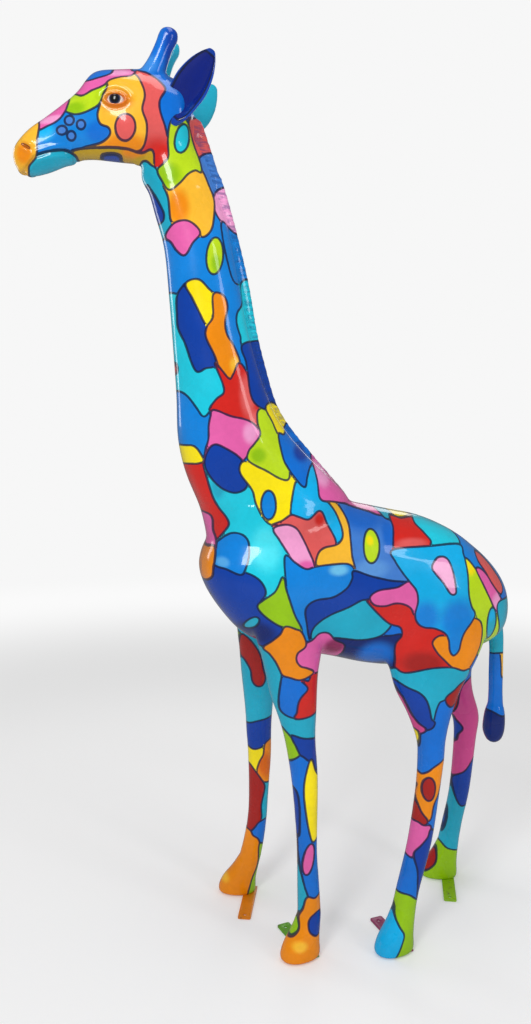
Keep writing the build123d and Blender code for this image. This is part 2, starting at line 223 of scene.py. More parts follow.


# Patches in painting order. A tone is (colour, centre, half sizes): a soft change inside the patch; some
# tones are painted shade or painted highlights, as marked where they stand.
SHARED_PATCHES = [
    # head
    patch(CORAL, (-41, 247), (-38.5, 247), (-35.8, 244.4), (-33, 241.5), (-31.5, 239), (-32.9, 236),
          (-32.9, 233.5), (-31.7, 230), (-30.5, 226), (-30.4, 223.3), (-32.1, 221.5), (-34.2, 219.4),
          (-35, 222.5), (-37.5, 223.8), (-41, 224.2), (-42, 232), (-42, 240), both=True,
          tones=((RED, (-33.5, 222.5), (6, 5.5)),)),
    # Painted shade in this amber cheek patch: the darker orange ring round the eye, and the darker orange
    # along its lower edge where the cheek turns under the jaw.
    patch(AMBER, (-49, 240.6), (-46, 243), (-42, 244), (-39.4, 242.8), (-37.9, 240), (-37.2, 237),
          (-37.9, 233.5), (-36.8, 230), (-37, 226.5), (-38.4, 224.4), (-42, 224.4), (-47, 224.6),
          (-53, 224.6), (-52, 230), (-50, 236), both=True,
          tones=((ORANGE, (-42.5, 225), (8, 3.4)), ((226, 116, 2), (-44.2, 235.6), (4.6, 3.0)),
                 (AMBER, (-47.5, 227.6), (1.6, 1.6)))),
    patch(MID, (-65.8, 232.5), (-61, 234), (-57, 235.6), (-52, 235.4), (-48.7, 235.8), (-49.4, 232.4),
          (-48.7, 230), (-46.6, 229), (-46.3, 227.6), (-48.4, 226.2), (-53, 225.3), (-56, 224),
          (-60, 222), (-64, 221), (-67, 221), (-66.2, 226), both=True,
          tones=((BLUE, (-49, 228.5), (4, 3)), (SKY, (-63, 229), (3, 3)))),
    patch(LIME, (-57.6, 234.8), (-56.2, 233.4), (-54, 233.1), (-50.6, 234.1), (-48.8, 235.2),
          (-47.8, 237.4), (-46.8, 240), (-50, 241), (-54, 240.4), (-57, 238.4), both=True,
          tones=((GREEN, (-55, 234.4), (3.2, 2.0)),)),
    # Painted highlights: the thin paler BLUSH bands in the next two pink patches, along the top of the
    # muzzle and over the brow.
    patch(PINK, (-65.4, 229.6), (-62.2, 230.5), (-60, 231.5), (-58.4, 233), (-57.3, 235), (-57, 238),
          (-62, 238), (-67, 234), both=True, tones=((BLUSH, (-61, 232), (5, 1.4)),)),
    patch(PINK, (-53.8, 238), (-50.4, 238.8), (-47.6, 239.8), (-46, 241.2), (-43, 242.2),
          (-40.5, 242.6), (-39.2, 244.4), (-38, 249), (-48, 250), (-57, 244), both=True,
          tones=((BLUSH, (-44, 243.6), (5, 1.4)),)),
    patch(BLUE, (-52, 242), (-49, 242.2), (-45.6, 243.6), (-45.4, 246.6), (-49, 247.5), (-53, 245),
          both=True),
    patch(OLIVE, (-56.2, 223.8), (-53, 224.8), (-47, 224.8), (-42, 224.4), (-38, 223.6), (-35.3, 224.2),
          (-34.8, 222), (-35.4, 219.6), (-40, 216), (-50, 216), (-54.2, 221.4), both=True,
          tones=((ORANGE, (-40, 224), (4, 1.2)),)),
    oval(NAVY, (-45.8, 223.1), (2.7, 0.6), 4, both=True),
    patch(TEAL, (-65.7, 222.6), (-61.8, 223.8), (-58.2, 224.2), (-55.6, 223.5), (-53.6, 222.1),
          (-51, 220.4), (-53, 213), (-74, 213), (-69, 219.2), both=True),
    patch(AMBER, (-65.3, 233), (-65.3, 226), (-65.6, 222.8), (-67.6, 220.6), (-68.8, 218),
          (-76, 215), (-78, 226), (-74, 235), both=True,
          tones=((ORANGE, (-68.6, 223.4), (2.6, 3.2)),)),
    oval(CORAL, (-42.1, 229.2), (2.4, 2.9), 6),
    oval(VIOLET, (-56.5, 231.4), (1.0, 1.0)), oval(VIOLET, (-53.5, 230.2), (0.9, 0.95)),
    oval(VIOLET, (-58.5, 229.0), (1.1, 0.9)), oval(VIOLET, (-56.1, 227.6), (0.9, 0.9)),
    patch(BLUE, (-40, 246.2), (-38.4, 244.6), (-35.8, 243.4), (-33.2, 241.6), (-31.4, 239),
          (-32.9, 236), (-32.9, 233.4), (-31.7, 230), (-30.6, 227.4), (-28.6, 231.6), (-24, 234),
          (-18, 244), (-22, 264), (-38, 264), right=TEAL,
          tones=((NAVY, (-28.8, 250), (3.6, 11)), ((58, 140, 226), (-36, 246), (3, 3)))),
    # Painted shade: this thin darker orange oval fills the nostril slit.
    oval((196, 104, 6), (-68.1, 225.3), (1.15, 0.16), 31, both=True, thin=5.0),
    # neck
    patch(TEAL, (-38, 221.6), (-35.2, 220.4), (-34, 219.3), (-32.6, 216.6), (-31.1, 214),
          (-30.7, 210.6), (-30.1, 207.2), (-30.5, 204.8), (-32.2, 202.2), (-36, 202), (-42, 212),
          both=True),
    patch(NAVY, (-36.6, 216), (-35.2, 214), (-33.6, 211), (-32.4, 208.2), (-32.6, 206.5),
          (-33.8, 206.6), (-35.4, 209.5), (-37, 213.5), both=True),
    patch(CORAL, (-24.6, 233), (-24.8, 229.8), (-23.7, 226.4), (-22.2, 223), (-20.6, 223.4),
          (-19.4, 224.8), (-15, 226), (-18, 236), both=True),
    patch(VIOLET, (-22.3, 223.2), (-22.1, 219.8), (-20.4, 217.4), (-19.4, 215), (-18.2, 213.9),
          (-16.8, 215), (-12.5, 216.4), (-14, 225), (-19.5, 225.2), both=True),
    patch(BLUSH, (-16.2, 216), (-18.3, 213.5), (-18.7, 210.6), (-17.5, 207.8), (-15.6, 206),
          (-12.4, 204.2), (-8, 204), (-10, 217), both=True),
    patch(AMBER, (-32, 216), (-30.9, 212), (-30.2, 206.2), (-28, 206), (-25, 205), (-23.2, 202.8),
          (-21.9, 202), (-19.9, 204), (-19, 208), (-18.8, 212.4), (-20.2, 216), (-22, 219.8),
          (-24.5, 221), (-28, 219), tones=((ORANGE, (-28.4, 209.6), (3.4, 5.6)),)),
    patch(LIME, (-28.6, 232.4), (-30.3, 230.5), (-30.8, 227), (-30.7, 222.6), (-32, 220.8),
          (-33.6, 219.2), (-32.5, 216.6), (-30.8, 214.2), (-28.1, 216), (-25.9, 218.4), (-23.7, 219.7),
          (-22.2, 219.4), (-22.4, 222), (-23.7, 226.2), (-25, 230), (-26.6, 232),
          tones=((GREEN, (-31, 218), (4, 3.6)),)),
    oval(CYAN, (-27.2, 227.3), (1.7, 3.4), 14),
    patch(PINK, (-31.6, 202.6), (-29.7, 205.2), (-26.8, 205.9), (-24.5, 204.9), (-23, 202.8),
          (-25, 200.3), (-26.4, 197.8), (-27.4, 197.2), (-28.9, 198.6), (-30.2, 200.8)),
    oval(LIME, (-18.9, 197), (2.1, 4.8), 7, tones=((GREEN, (-18.6, 195), (1.6, 3)),)),
    patch(CYAN, (-29.2, 187), (-28, 184), (-26, 180), (-24, 172), (-21, 167.8), (-19, 167.6),
          (-17.2, 163.2), (-16.9, 160.4), (-18.8, 158.4), (-20.6, 156.2), (-22.4, 154.3), (-24, 156.4),
          (-26.4, 159.8), (-29, 161.4), (-35, 163), (-35, 186), both=True),
    patch(CORAL, (-30.6, 169.4), (-29.2, 168), (-29.6, 165.6), (-34, 165), (-34, 170), both=True),
    patch(NAVY, (-28.8, 186.4), (-27.6, 188.6), (-26.4, 189.4), (-25, 186), (-23.2, 182),
          (-21, 178.4), (-21.5, 175.6), (-19.8, 171), (-19.3, 167.9), (-21.9, 167.2), (-23.9, 166.3),
          (-25.2, 168.6), (-26.8, 173.8), (-28.5, 178), (-28.8, 182), right=PINK),
    patch(YELLOW, (-26.6, 189.5), (-23.6, 190.5), (-21, 188.2), (-19.3, 186), (-19.8, 181.8),
          (-21.2, 178.6), (-23.2, 182.2), (-25, 186)),
    patch(ORANGE, (-19.4, 186.6), (-16.8, 186.4), (-15.8, 183.6), (-16.6, 179.4), (-16.1, 176),
          (-14.2, 173), (-12.6, 168.6), (-14.2, 165.6), (-15.5, 164.3), (-17.8, 166.8), (-19.4, 171),
          (-21.4, 175.2), (-21.2, 178), (-19.5, 180.8), tones=((AMBER, (-13.6, 168), (2, 2.6)),)),
    patch(RED, (-19.2, 168.2), (-17.8, 166.6), (-15.5, 164), (-14.2, 165.4), (-12.6, 168.4),
          (-10.5, 165.6), (-9.8, 162.2), (-9, 159.4), (-6.4, 157.2), (-6.8, 155), (-7.4, 151),
          (-9.4, 151.6), (-11.6, 153.2), (-15.3, 153.8), (-18.4, 155.2), (-20.8, 155.8),
          (-19, 158.6), (-16.9, 160.4), (-17.2, 163.2),
          tones=((CORAL, (-10.4, 160), (2.6, 7)), (CORAL, (-8, 153.4), (2.6, 3)))),
    patch(YELLOW, (-27.8, 146), (-25, 145.8), (-23.2, 143.4), (-22.8, 142), (-24.4, 140.8),
          (-26.2, 138), (-33, 139), (-33, 146), both=True),
    patch(RED, (-24.2, 141), (-22.4, 141), (-20.8, 136), (-20, 132), (-18.2, 129), (-16.4, 127),
          (-15.8, 124.8), (-17, 122.4), (-18.6, 120.5), (-19.6, 122), (-20.6, 124.6), (-24, 128),
          (-32, 134), (-29, 140), both=True),
    # shoulder, breast and flank
    # Painted highlight: the pale cyan tone on the shoulder in the next patch.
    patch(CYAN, (-22.4, 141), (-20.8, 138), (-18, 135.2), (-14.5, 134), (-12, 136), (-9.5, 133.6),
          (-8.2, 129.4), (-5.6, 125.2), (-3.4, 122.4), (-1.6, 118), (0.2, 116), (-0.8, 113),
          (-1.8, 110.8), (-4.5, 107.4), (-7, 105), (-8.9, 110), (-14, 113), (-19.6, 116.4),
          (-18.6, 119.8), (-17, 122.5), (-15.8, 124.8), (-16.6, 127), (-18.4, 129.4), (-20.2, 133),
          tones=(((70, 228, 244), (-6.5, 118.5), (4.5, 7)), (TEAL, (-18.8, 135), (2.2, 4)))),
    patch(PINK, (-12.4, 142.4), (-14.3, 143.8), (-17, 145.8), (-19.8, 146.5), (-21.2, 144.8),
          (-22.2, 141.6), (-21.9, 145), (-21.1, 148), (-21, 151.6), (-20.5, 154), (-19.8, 155.7),
          (-15.3, 154), (-11.6, 153.2), (-9, 151.9), (-7.1, 149.2), (-7.9, 147.2), (-10.4, 144.7),
          tones=((BLUSH, (-10, 149.6), (2.4, 3.4)),)),
    patch(NAVY, (-19.6, 146.4), (-17, 145.4), (-13.8, 143.4), (-12.2, 141.4), (-12, 139.4),
          (-11.1, 137), (-12, 134.7), (-14.7, 133.7), (-18, 135), (-20.8, 138), (-22.2, 141.4),
          (-21.3, 144.8), right=YELLOW),
    patch(YELLOW, (-12.2, 141.8), (-8.9, 141), (-4.5, 138.6), (-1.4, 137), (0.4, 138.4), (2.2, 136),
          (1.6, 132.4), (0.4, 127.8), (-2.3, 126.2), (-5, 125.2), (-7.2, 127.2), (-8.9, 130.8),
          (-9.8, 134.4), (-12.9, 139)),
    patch(LIME, (-7.3, 155.6), (-4.5, 156.4), (-3.3, 153), (-1.5, 149.4), (-0.8, 144), (0.4, 140),
          (0, 137.2), (-2.4, 137.6), (-6, 139.7), (-8.7, 141), (-10.8, 142.6), (-10.4, 144.8),
          (-9, 146.4), (-7, 149.2), (-7.6, 152.4), tones=((GREEN, (-8, 143.6), (2.6, 2.4)),)),
    oval(MID, (-5.7, 130.3), (1.8, 3.7), 3),
    patch(SKY, (2.2, 136), (0.3, 127.5), (2.2, 127), (5.4, 126.1), (8.7, 128), (10.4, 125.6),
          (12.2, 121), (13.6, 119.6), (15, 121), (14.6, 125), (12.6, 129.8), (10.2, 132), (9, 135.4),
          (9.2, 139.6), (7.8, 143), (6.6, 140), (5.2, 137.4), (4.4, 135.6)),
    patch(CORAL, (-4.8, 124.8), (-2, 126), (0.3, 127.4), (2.2, 126.9), (5.4, 126), (8.7, 128.2),
          (10.6, 125), (12.6, 120), (10.8, 118.4), (8, 117), (7, 113.6), (5.6, 113.4), (4.6, 117.4),
          (3.4, 121), (1, 124.2), (-1.4, 124.8), tones=((RED, (8.6, 126), (1.8, 2)),)),
    patch(BLUSH, (-4.4, 123.8), (-1.6, 124.8), (1, 124.2), (2.8, 122.2), (4.6, 118), (6, 113.6),
          (3.8, 113), (0.8, 114.8), (-0.6, 117.3), (-2.8, 121), tones=((PINK, (4, 114), (3, 1.8)),)),
    # Painted highlight: the pale tone low in this violet patch, one streak with the pale tone in the blue
    # patch below it.
    patch(VIOLET, (13, 131.5), (17, 130.5), (24, 128), (30, 126), (31.4, 124.8), (30.4, 122),
          (29.8, 119), (29.4, 116.8), (30, 113.8), (31.8, 111), (33.6, 108.6), (32, 108),
          (28, 108.8), (22, 110.2), (17, 111.6), (16.6, 116), (16.8, 120), (17, 124.8), (15.8, 128),
          tones=(((20, 104, 205), (22, 126.5), (8, 5)), ((20, 104, 205), (28.6, 121), (2.6, 6)),
                 ((92, 152, 222), (22.5, 112.5), (6, 3)))),
    patch(AMBER, (10.2, 132), (13.4, 130.6), (15.8, 128), (17, 124.8), (16.8, 120), (16.8, 116),
          (17.4, 112.8), (15.6, 113.8), (12.4, 114), (9.2, 113.6), (6.8, 113.8), (7.5, 116.9),
          (9.4, 118.4), (13, 119.1), (15, 121), (15.2, 124), (14.2, 127.2), (12.2, 130)),
    oval(LIME, (22.9, 118.5), (2.1, 4.3), 7, tones=((YELLOW, (22.6, 120), (1.2, 1.6)),)),
    # Painted shade: the DEEP tone at the bottom of this navy breast patch, where the breast turns under;
    # the navy itself is the paint's colour.
    patch(NAVY, (-21.4, 114.2), (-13.4, 112.4), (-9.6, 110.8), (-7.7, 108.6), (-7.3, 106.4),
          (-8.8, 103.4), (-7, 100.6), (-4.4, 98.4), (-1.6, 97), (-3.6, 94), (-5.8, 91), (-7.5, 89),
          (-14, 88), (-28, 100), (-27, 112), both=True, tones=((DEEP, (-9, 95), (6, 4)),)),
    # Painted highlight: the paler blue tone on this rounded shoulder bulge.
    patch(MID, (-20, 114), (-19.3, 118.4), (-18, 120.2), (-15.4, 122.2), (-12.8, 122), (-11.3, 120.2),
          (-11.3, 117), (-12.4, 113.4), (-13.6, 111.8), (-17, 113), both=False,
          tones=(((86, 172, 236), (-18, 114.6), (2, 1.6)),)),
    patch(PINK, (-21, 127), (-19.9, 122.4), (-19.2, 119.8), (-19.8, 117.4), (-22, 117.2), (-28, 118),
          (-28, 126), both=True),
    patch(ORANGE, (-19.7, 118), (-20.4, 113), (-21, 109.8), (-24, 108), (-29, 112), (-28, 117.4),
          (-22, 117.3), both=True),
    oval(TEAL, (-10.2, 97.6), (1.1, 2.2), 38),
    # Painted highlight: the pale blue tone near this patch's top, one streak with the pale tone in the
    # violet patch above it.
    patch(MID, (-1.6, 116.4), (0.8, 114.8), (3.8, 113), (6.8, 113.6), (12, 114), (16, 113.8),
          (17.4, 111.6), (15.4, 107.4), (11.5, 105.1), (6.4, 104.5), (4, 102), (4.6, 97.6), (5.8, 93),
          (4.4, 91.6), (3.4, 94), (1.8, 98), (0, 103), (-1.4, 108),
          tones=(((110, 196, 240), (13, 112.6), (3.2, 1.8)),)),
    patch(NAVY, (17.4, 112), (22, 110.4), (28, 108.9), (32.6, 108.4), (32.8, 107.6), (29.6, 106.9),
          (25, 106.3), (22.4, 104.8), (20.2, 103.4), (16, 101.6), (11.5, 100), (8.2, 98), (6.2, 95.4),
          (5.4, 93.4), (4.6, 97.6), (4, 102), (6.4, 104.3), (11.5, 105), (15.4, 107.3), (17, 110)),
    patch(GREEN, (-2.5, 111), (-1.9, 108), (-0.6, 104), (0.8, 100.2), (2.8, 96), (-0.2, 96.8),
          (-3.7, 98), (-7.2, 100.5), (-8.9, 102.9), (-7.5, 104.6), (-4.4, 107.1)),
    # Painted shade on the belly's underside: the navy paint there is deepened to DEEP; the blue tone in it
    # is the paint's own colour.
    patch(DEEP, (6, 92.6), (12, 93.4), (20, 92.6), (28, 93), (33, 92), (33, 78), (14, 76), (6, 84),
          both=True, tones=((BLUE, (25.5, 87), (6, 5)),)),
    patch(TEAL, (6.2, 95.4), (8.2, 98), (11.5, 100.1), (16, 101.8), (20.3, 103.8), (22.2, 102.4),
          (24.8, 99.8), (28, 97), (27.2, 94.8), (24.8, 93), (20, 92.2), (14, 93), (10, 93.2),
          (7.6, 92.8), (6, 92.4)),
    # back
    patch(PINK, (9.3, 146), (9.1, 136), (9.3, 131.6), (13, 130.8), (17.5, 129.8), (20, 128.8),
          (24.5, 127.4), (28.2, 126.4), (28.6, 129.6), (24, 136), (16, 146), both=True,
          tones=((BLUSH, (11, 138), (3, 4)),)),
    patch(TEAL, (28.6, 126.2), (30, 125.2), (32.4, 124.6), (33.5, 128), (31, 132), (27.4, 131), both=True),
    patch(YELLOW, (32.6, 125), (36, 124.6), (38.8, 125.2), (39.6, 131), (33, 132), both=True),
    patch(ORANGE, (38.8, 125), (42.5, 124.2), (44.4, 130), (39.4, 131), both=True),
    patch(RED, (31, 125.8), (34, 125), (38.2, 125), (37.8, 123.6), (39.6, 121.6), (41.2, 119.2),
          (40.8, 117.6), (37, 117.7), (32, 117.2), (29.6, 117.4), (29.8, 120), (30.6, 123),
          tones=((CORAL, (35, 118.6), (6, 1.8)),)),
    patch(CYAN, (38.2, 124), (40, 125.6), (45.5, 125.4), (48.5, 123.4), (50.8, 119.6), (50, 117.4),
          (46.5, 116.8), (41.2, 117.4), (41.4, 119.2), (39.8, 121.6)),
    patch(ORANGE, (49.5, 122.8), (53, 120.2), (56, 118.6), (56, 124), (50, 127), both=True),
    # haunch
    patch(LIME, (51, 113.6), (52.4, 113), (55, 109.4), (57.4, 106), (60.2, 102.4), (63.4, 99),
          (65.4, 93), (64.4, 86), (59.5, 82.6), (54, 88), (54, 93), (54.2, 97), (53.2, 99),
          (51.8, 101), (50.8, 105), (50.9, 109.6), tones=((YELLOW, (52.4, 111.6), (2.2, 2.6)),)),
    patch(ORANGE, (40.3, 91), (42, 92.9), (44.4, 94), (50, 97), (53.3, 97), (55.6, 95.4), (56.2, 92),
          (55.6, 88), (53.4, 84), (51, 81.6), (48.7, 80.6), (46.8, 82), (44.5, 85), (41.6, 88)),
    patch(RED, (21.2, 103.8), (23.4, 102.5), (26.2, 102.1), (29.2, 102.8), (32.2, 102.2),
          (34.2, 100.4), (35.8, 96.8), (38, 95.5), (43, 94.4), (44.6, 93.2), (42, 93), (40.2, 91),
          (41.6, 88), (44.5, 85), (46.6, 82.6), (42.6, 83.5), (40, 82.8), (37.3, 81.5), (35, 81.3),
          (31.2, 82.6), (30.8, 86), (30.6, 90.4), (32, 93), (31.2, 95.8), (28, 97), (24.8, 99.8),
          tones=((CRIMSON, (38, 85), (7, 4)),)),
    patch(PINK, (22.2, 104.6), (24.6, 106.3), (29.8, 107), (33.2, 108.5), (35.4, 106.2),
          (35.9, 103), (35, 99.4), (33.8, 101.4), (31.6, 102.6), (29.2, 102.9), (26.2, 102.2),
          (23.4, 102.6)),
    patch(SKY, (29.2, 117.2), (29.6, 114.4), (31.6, 111.2), (33.6, 108.6), (35.4, 106.2),
          (35.9, 103), (35.2, 99.4), (36, 97), (38, 95.6), (41, 95.2), (44, 93.8), (45.3, 91.6),
          (45.7, 88.6), (46.7, 87.2), (48.2, 88.4), (48.9, 91.2), (50, 93.6), (52.4, 96.4),
          (53.3, 98.4), (52, 100.6), (51, 104.4), (51, 110), (50.6, 115), (50, 117.6), (40, 117.6),
          tones=((MID, (38, 98), (5, 6)), (MID, (48, 97), (7, 7.5)), (MID, (46.6, 90), (4, 4)))),
    patch(BLUSH, (40.4, 112.4), (42.4, 114.6), (45, 114.2), (46.2, 111), (46.8, 107), (46.8, 104.9),
          (45.4, 105), (43.4, 108), (41.2, 110.6)),
    oval(TEAL, (59.8, 94.6), (1.5, 4.8), -4, tones=((SKY, (59.6, 97), (1.2, 2)),)),
    patch(PINK, (54.6, 110.8), (57, 110), (59.6, 106.6), (62, 103), (64.6, 99), (64, 97),
          (61, 98.6), (58.6, 102.6), (56.4, 106.8), tones=((BLUSH, (62, 101), (3, 3)),)),
    patch(CORAL, (56.4, 115), (59, 113.4), (62, 109.4), (64.4, 105), (63, 103), (60, 106.4),
          (58, 110), (56.2, 112.8)),
    # tail
    patch(AMBER, (69.6, 84), (73, 84), (74, 76), (70.4, 74), (69.8, 78), both=True),
    patch(DEEP, (60, 62), (66, 63.4), (70.4, 61.6), (78, 61), (78, 48), (60, 48), both=True),
]

LEFT_PATCHES = [
    patch(TEAL, (30.6, 83), (33, 82), (40, 83.4), (46, 83.4), (50, 82), (52.5, 82), (52.2, 79.6),
          (50.3, 78.4), (47.5, 76.7), (44.2, 74.6), (42.5, 73.9), (41.4, 71.4), (40.6, 68),
          (39.9, 70), (39.3, 73), (38, 75.1), (36, 76.8), (32.2, 78.5), (29.5, 80.4)),
    patch(NAVY, (30.4, 79.6), (33.4, 78), (36.6, 76.6), (38.4, 74.8), (39.5, 72), (40.2, 69),
          (41.2, 68), (40.6, 66.6), (39, 66), (37, 67.2), (35, 70), (33.6, 73.6), (32, 76.6)),
    patch(ROSE, (29, 79), (32, 75.8), (33.6, 73), (35.2, 69.8), (37, 67.4), (38.8, 65.9),
          (37.2, 64.4), (35.6, 64.6), (30, 70), (27, 79)),
    patch(CRIMSON, (44.6, 74.6), (47.4, 76.6), (50, 78.3), (54, 79), (50, 74), (46.6, 72)),
    patch(YELLOW, (35.5, 65.2), (37.2, 64.6), (37.5, 61), (36.4, 59.6), (33, 62)),
    patch(ORANGE, (44.9, 56), (44.2, 51.3), (43, 47.2), (41.2, 43.8), (40.4, 40), (38.9, 39.6),
          (37.6, 41.8), (36.4, 45.4), (36.3, 50), (36.8, 53.2), (38, 52.6), (39.6, 53.4),
          (41.4, 54.8), (43.6, 55.9)),
    oval(CRIMSON, (39.9, 48.6), (1.7, 3.2)),
    patch(CRIMSON, (36.6, 50.4), (36.4, 46), (37.6, 42), (39.4, 39), (36, 38), (32, 42), (32.5, 50)),
    patch(PINK, (36.3, 38.9), (38.2, 38), (40.4, 37.6), (39.9, 34.8), (37.8, 32.4), (35.8, 30.2),
          (35, 28.8), (33.2, 30.2), (32, 34), (33, 38)),
    patch(NAVY, (41, 36.4), (39.8, 34.4), (37.8, 32.2), (35.8, 29.6), (36.8, 25), (37, 20),
          (37.6, 15.6), (43, 14), (45, 30)),
    patch(GREEN, (30.4, 17.6), (32.8, 18), (34.6, 17.5), (36.8, 15.6), (41, 12), (42, 3), (34, -3),
          (29, -2), (30.2, 2), (31.8, 5), (32.2, 7), (31, 9.2), (30.2, 12), (30, 15)),
    patch(SKY, (30.3, 14.5), (30.1, 11.5), (31, 9), (32.3, 6.6), (31.4, 4), (29.8, 1), (27, -3),
          (14, -3), (14, 10), (22, 14), (26, 20), (29.4, 22), (29.8, 18),
          tones=((MID, (24, 11), (4, 4)),)),
    patch(BLUE, (-3, 83.4), (-0.3, 83.4), (2.1, 82.2), (5, 81.4), (5, 79.6), (3, 77.2), (2.1, 75.4),
          (1.7, 73), (1.2, 71.2), (-0.7, 71.4), (-2.8, 73), (-3.4, 76.8), (-3.2, 80.8)),
    patch(TEAL, (-12, 90), (-6.9, 91), (-5.6, 89.6), (-4.1, 87.6), (-2.8, 84.6), (-3.2, 80),
          (-3.4, 76.6), (-2.8, 73.2), (0, 71.4), (5, 71.2), (8, 72.6), (12, 73), (12, 64.4),
          (8, 64), (6, 64.8), (2.5, 65.2), (0, 66), (-1.6, 67.4), (-5, 72), (-10, 84)),
    patch(RED, (2.5, 82.6), (5, 81.4), (6.4, 83.8), (8.4, 84.6), (12, 83), (11.4, 74), (8, 72.4),
          (5, 71.6), (1.2, 71.4), (1.8, 73), (2.1, 75.4), (3, 77.2), (5, 79.6)),
    patch(PINK, (3.4, 92), (6.2, 92.8), (8.7, 94.4), (11, 94.2), (13, 92), (16, 90), (15, 85),
          (11, 83), (8.8, 83.4), (6.2, 83.8), (4, 85), (2, 86.2), (1.1, 88), (1.5, 90),
          tones=((PLUM, (13.4, 90), (3.6, 3.4)),)),
    patch(ORANGE, (-1.6, 97.2), (1.3, 96.3), (2.8, 95.4), (4, 91.9), (1.6, 90), (1.2, 87.8),
          (2.4, 86), (4.4, 85.2), (6.4, 84), (5.4, 83.2), (2.5, 82.4), (-0.3, 83.2), (-2.2, 83.8),
          (-3, 85.4), (-4.1, 87.6), (-5.6, 89.6), (-7, 91), (-4.8, 93.2), (-2.8, 95.2)),
    patch(GREEN, (-2.4, 68), (-1, 66.8), (0.6, 65), (1.8, 63), (2.7, 61.4), (1.8, 60.2), (0.4, 59),
          (-0.6, 57.8), (-1.2, 56.4), (-4, 58), (-4, 66)),
    patch(NAVY, (0.5, 66.2), (3, 65.4), (6, 64.8), (8.5, 64), (11, 61), (9, 57), (7, 56),
          (6.4, 58.4), (5, 59.2), (3.6, 60.4), (2.7, 61), (1.8, 63), (0.8, 65)),
    patch(YELLOW, (5.8, 59), (7, 55.6), (9, 52), (9.6, 45), (9, 38), (6.8, 35.2), (5.8, 37),
          (4.9, 41.4), (4.1, 47), (3.9, 51), (4.4, 55)),
    patch(NAVY, (-0.4, 51), (1.6, 50), (2.4, 46), (2.6, 40), (2.4, 36.8), (1, 36.6), (-2, 40), (-2, 48)),
    oval(PINK, (5.2, 30.1), (1.35, 4.4), 10),
    patch(TEAL, (1.6, 36.8), (2.2, 32), (2.8, 27), (3.9, 22), (4.8, 18.9), (4.1, 17), (3, 13.8),
          (1, 13), (-3, 20), (-2, 34)),
    patch(GREEN, (1.2, 14), (2.7, 12.8), (2.6, 10), (1.2, 8), (-1.4, 6.2), (-3, 4.2), (-4, 0),
          (-10, -1), (-10, 8), (-3, 12)),
    patch(ORANGE, (4.8, 18.8), (7, 18.4), (10, 19), (13, 14), (13, 4), (8, -3), (-5, -3),
          (-3.4, 3.6), (-1.4, 6.2), (1.2, 8), (2.6, 10), (2.8, 12.8), (3.8, 15.4),
          tones=((AMBER, (2.4, 5.4), (2.6, 1.8)),)),
    patch(NAVY, (6.6, 13.6), (8.6, 14.2), (9.8, 11), (8, 7.6), (5.8, 8.8), (5.2, 10.6), (5.4, 12.2)),
    patch(TEAL, (61.6, 99.6), (66, 101), (76, 100), (77, 83), (69, 82), (65, 82.6), (64.2, 91)),
]

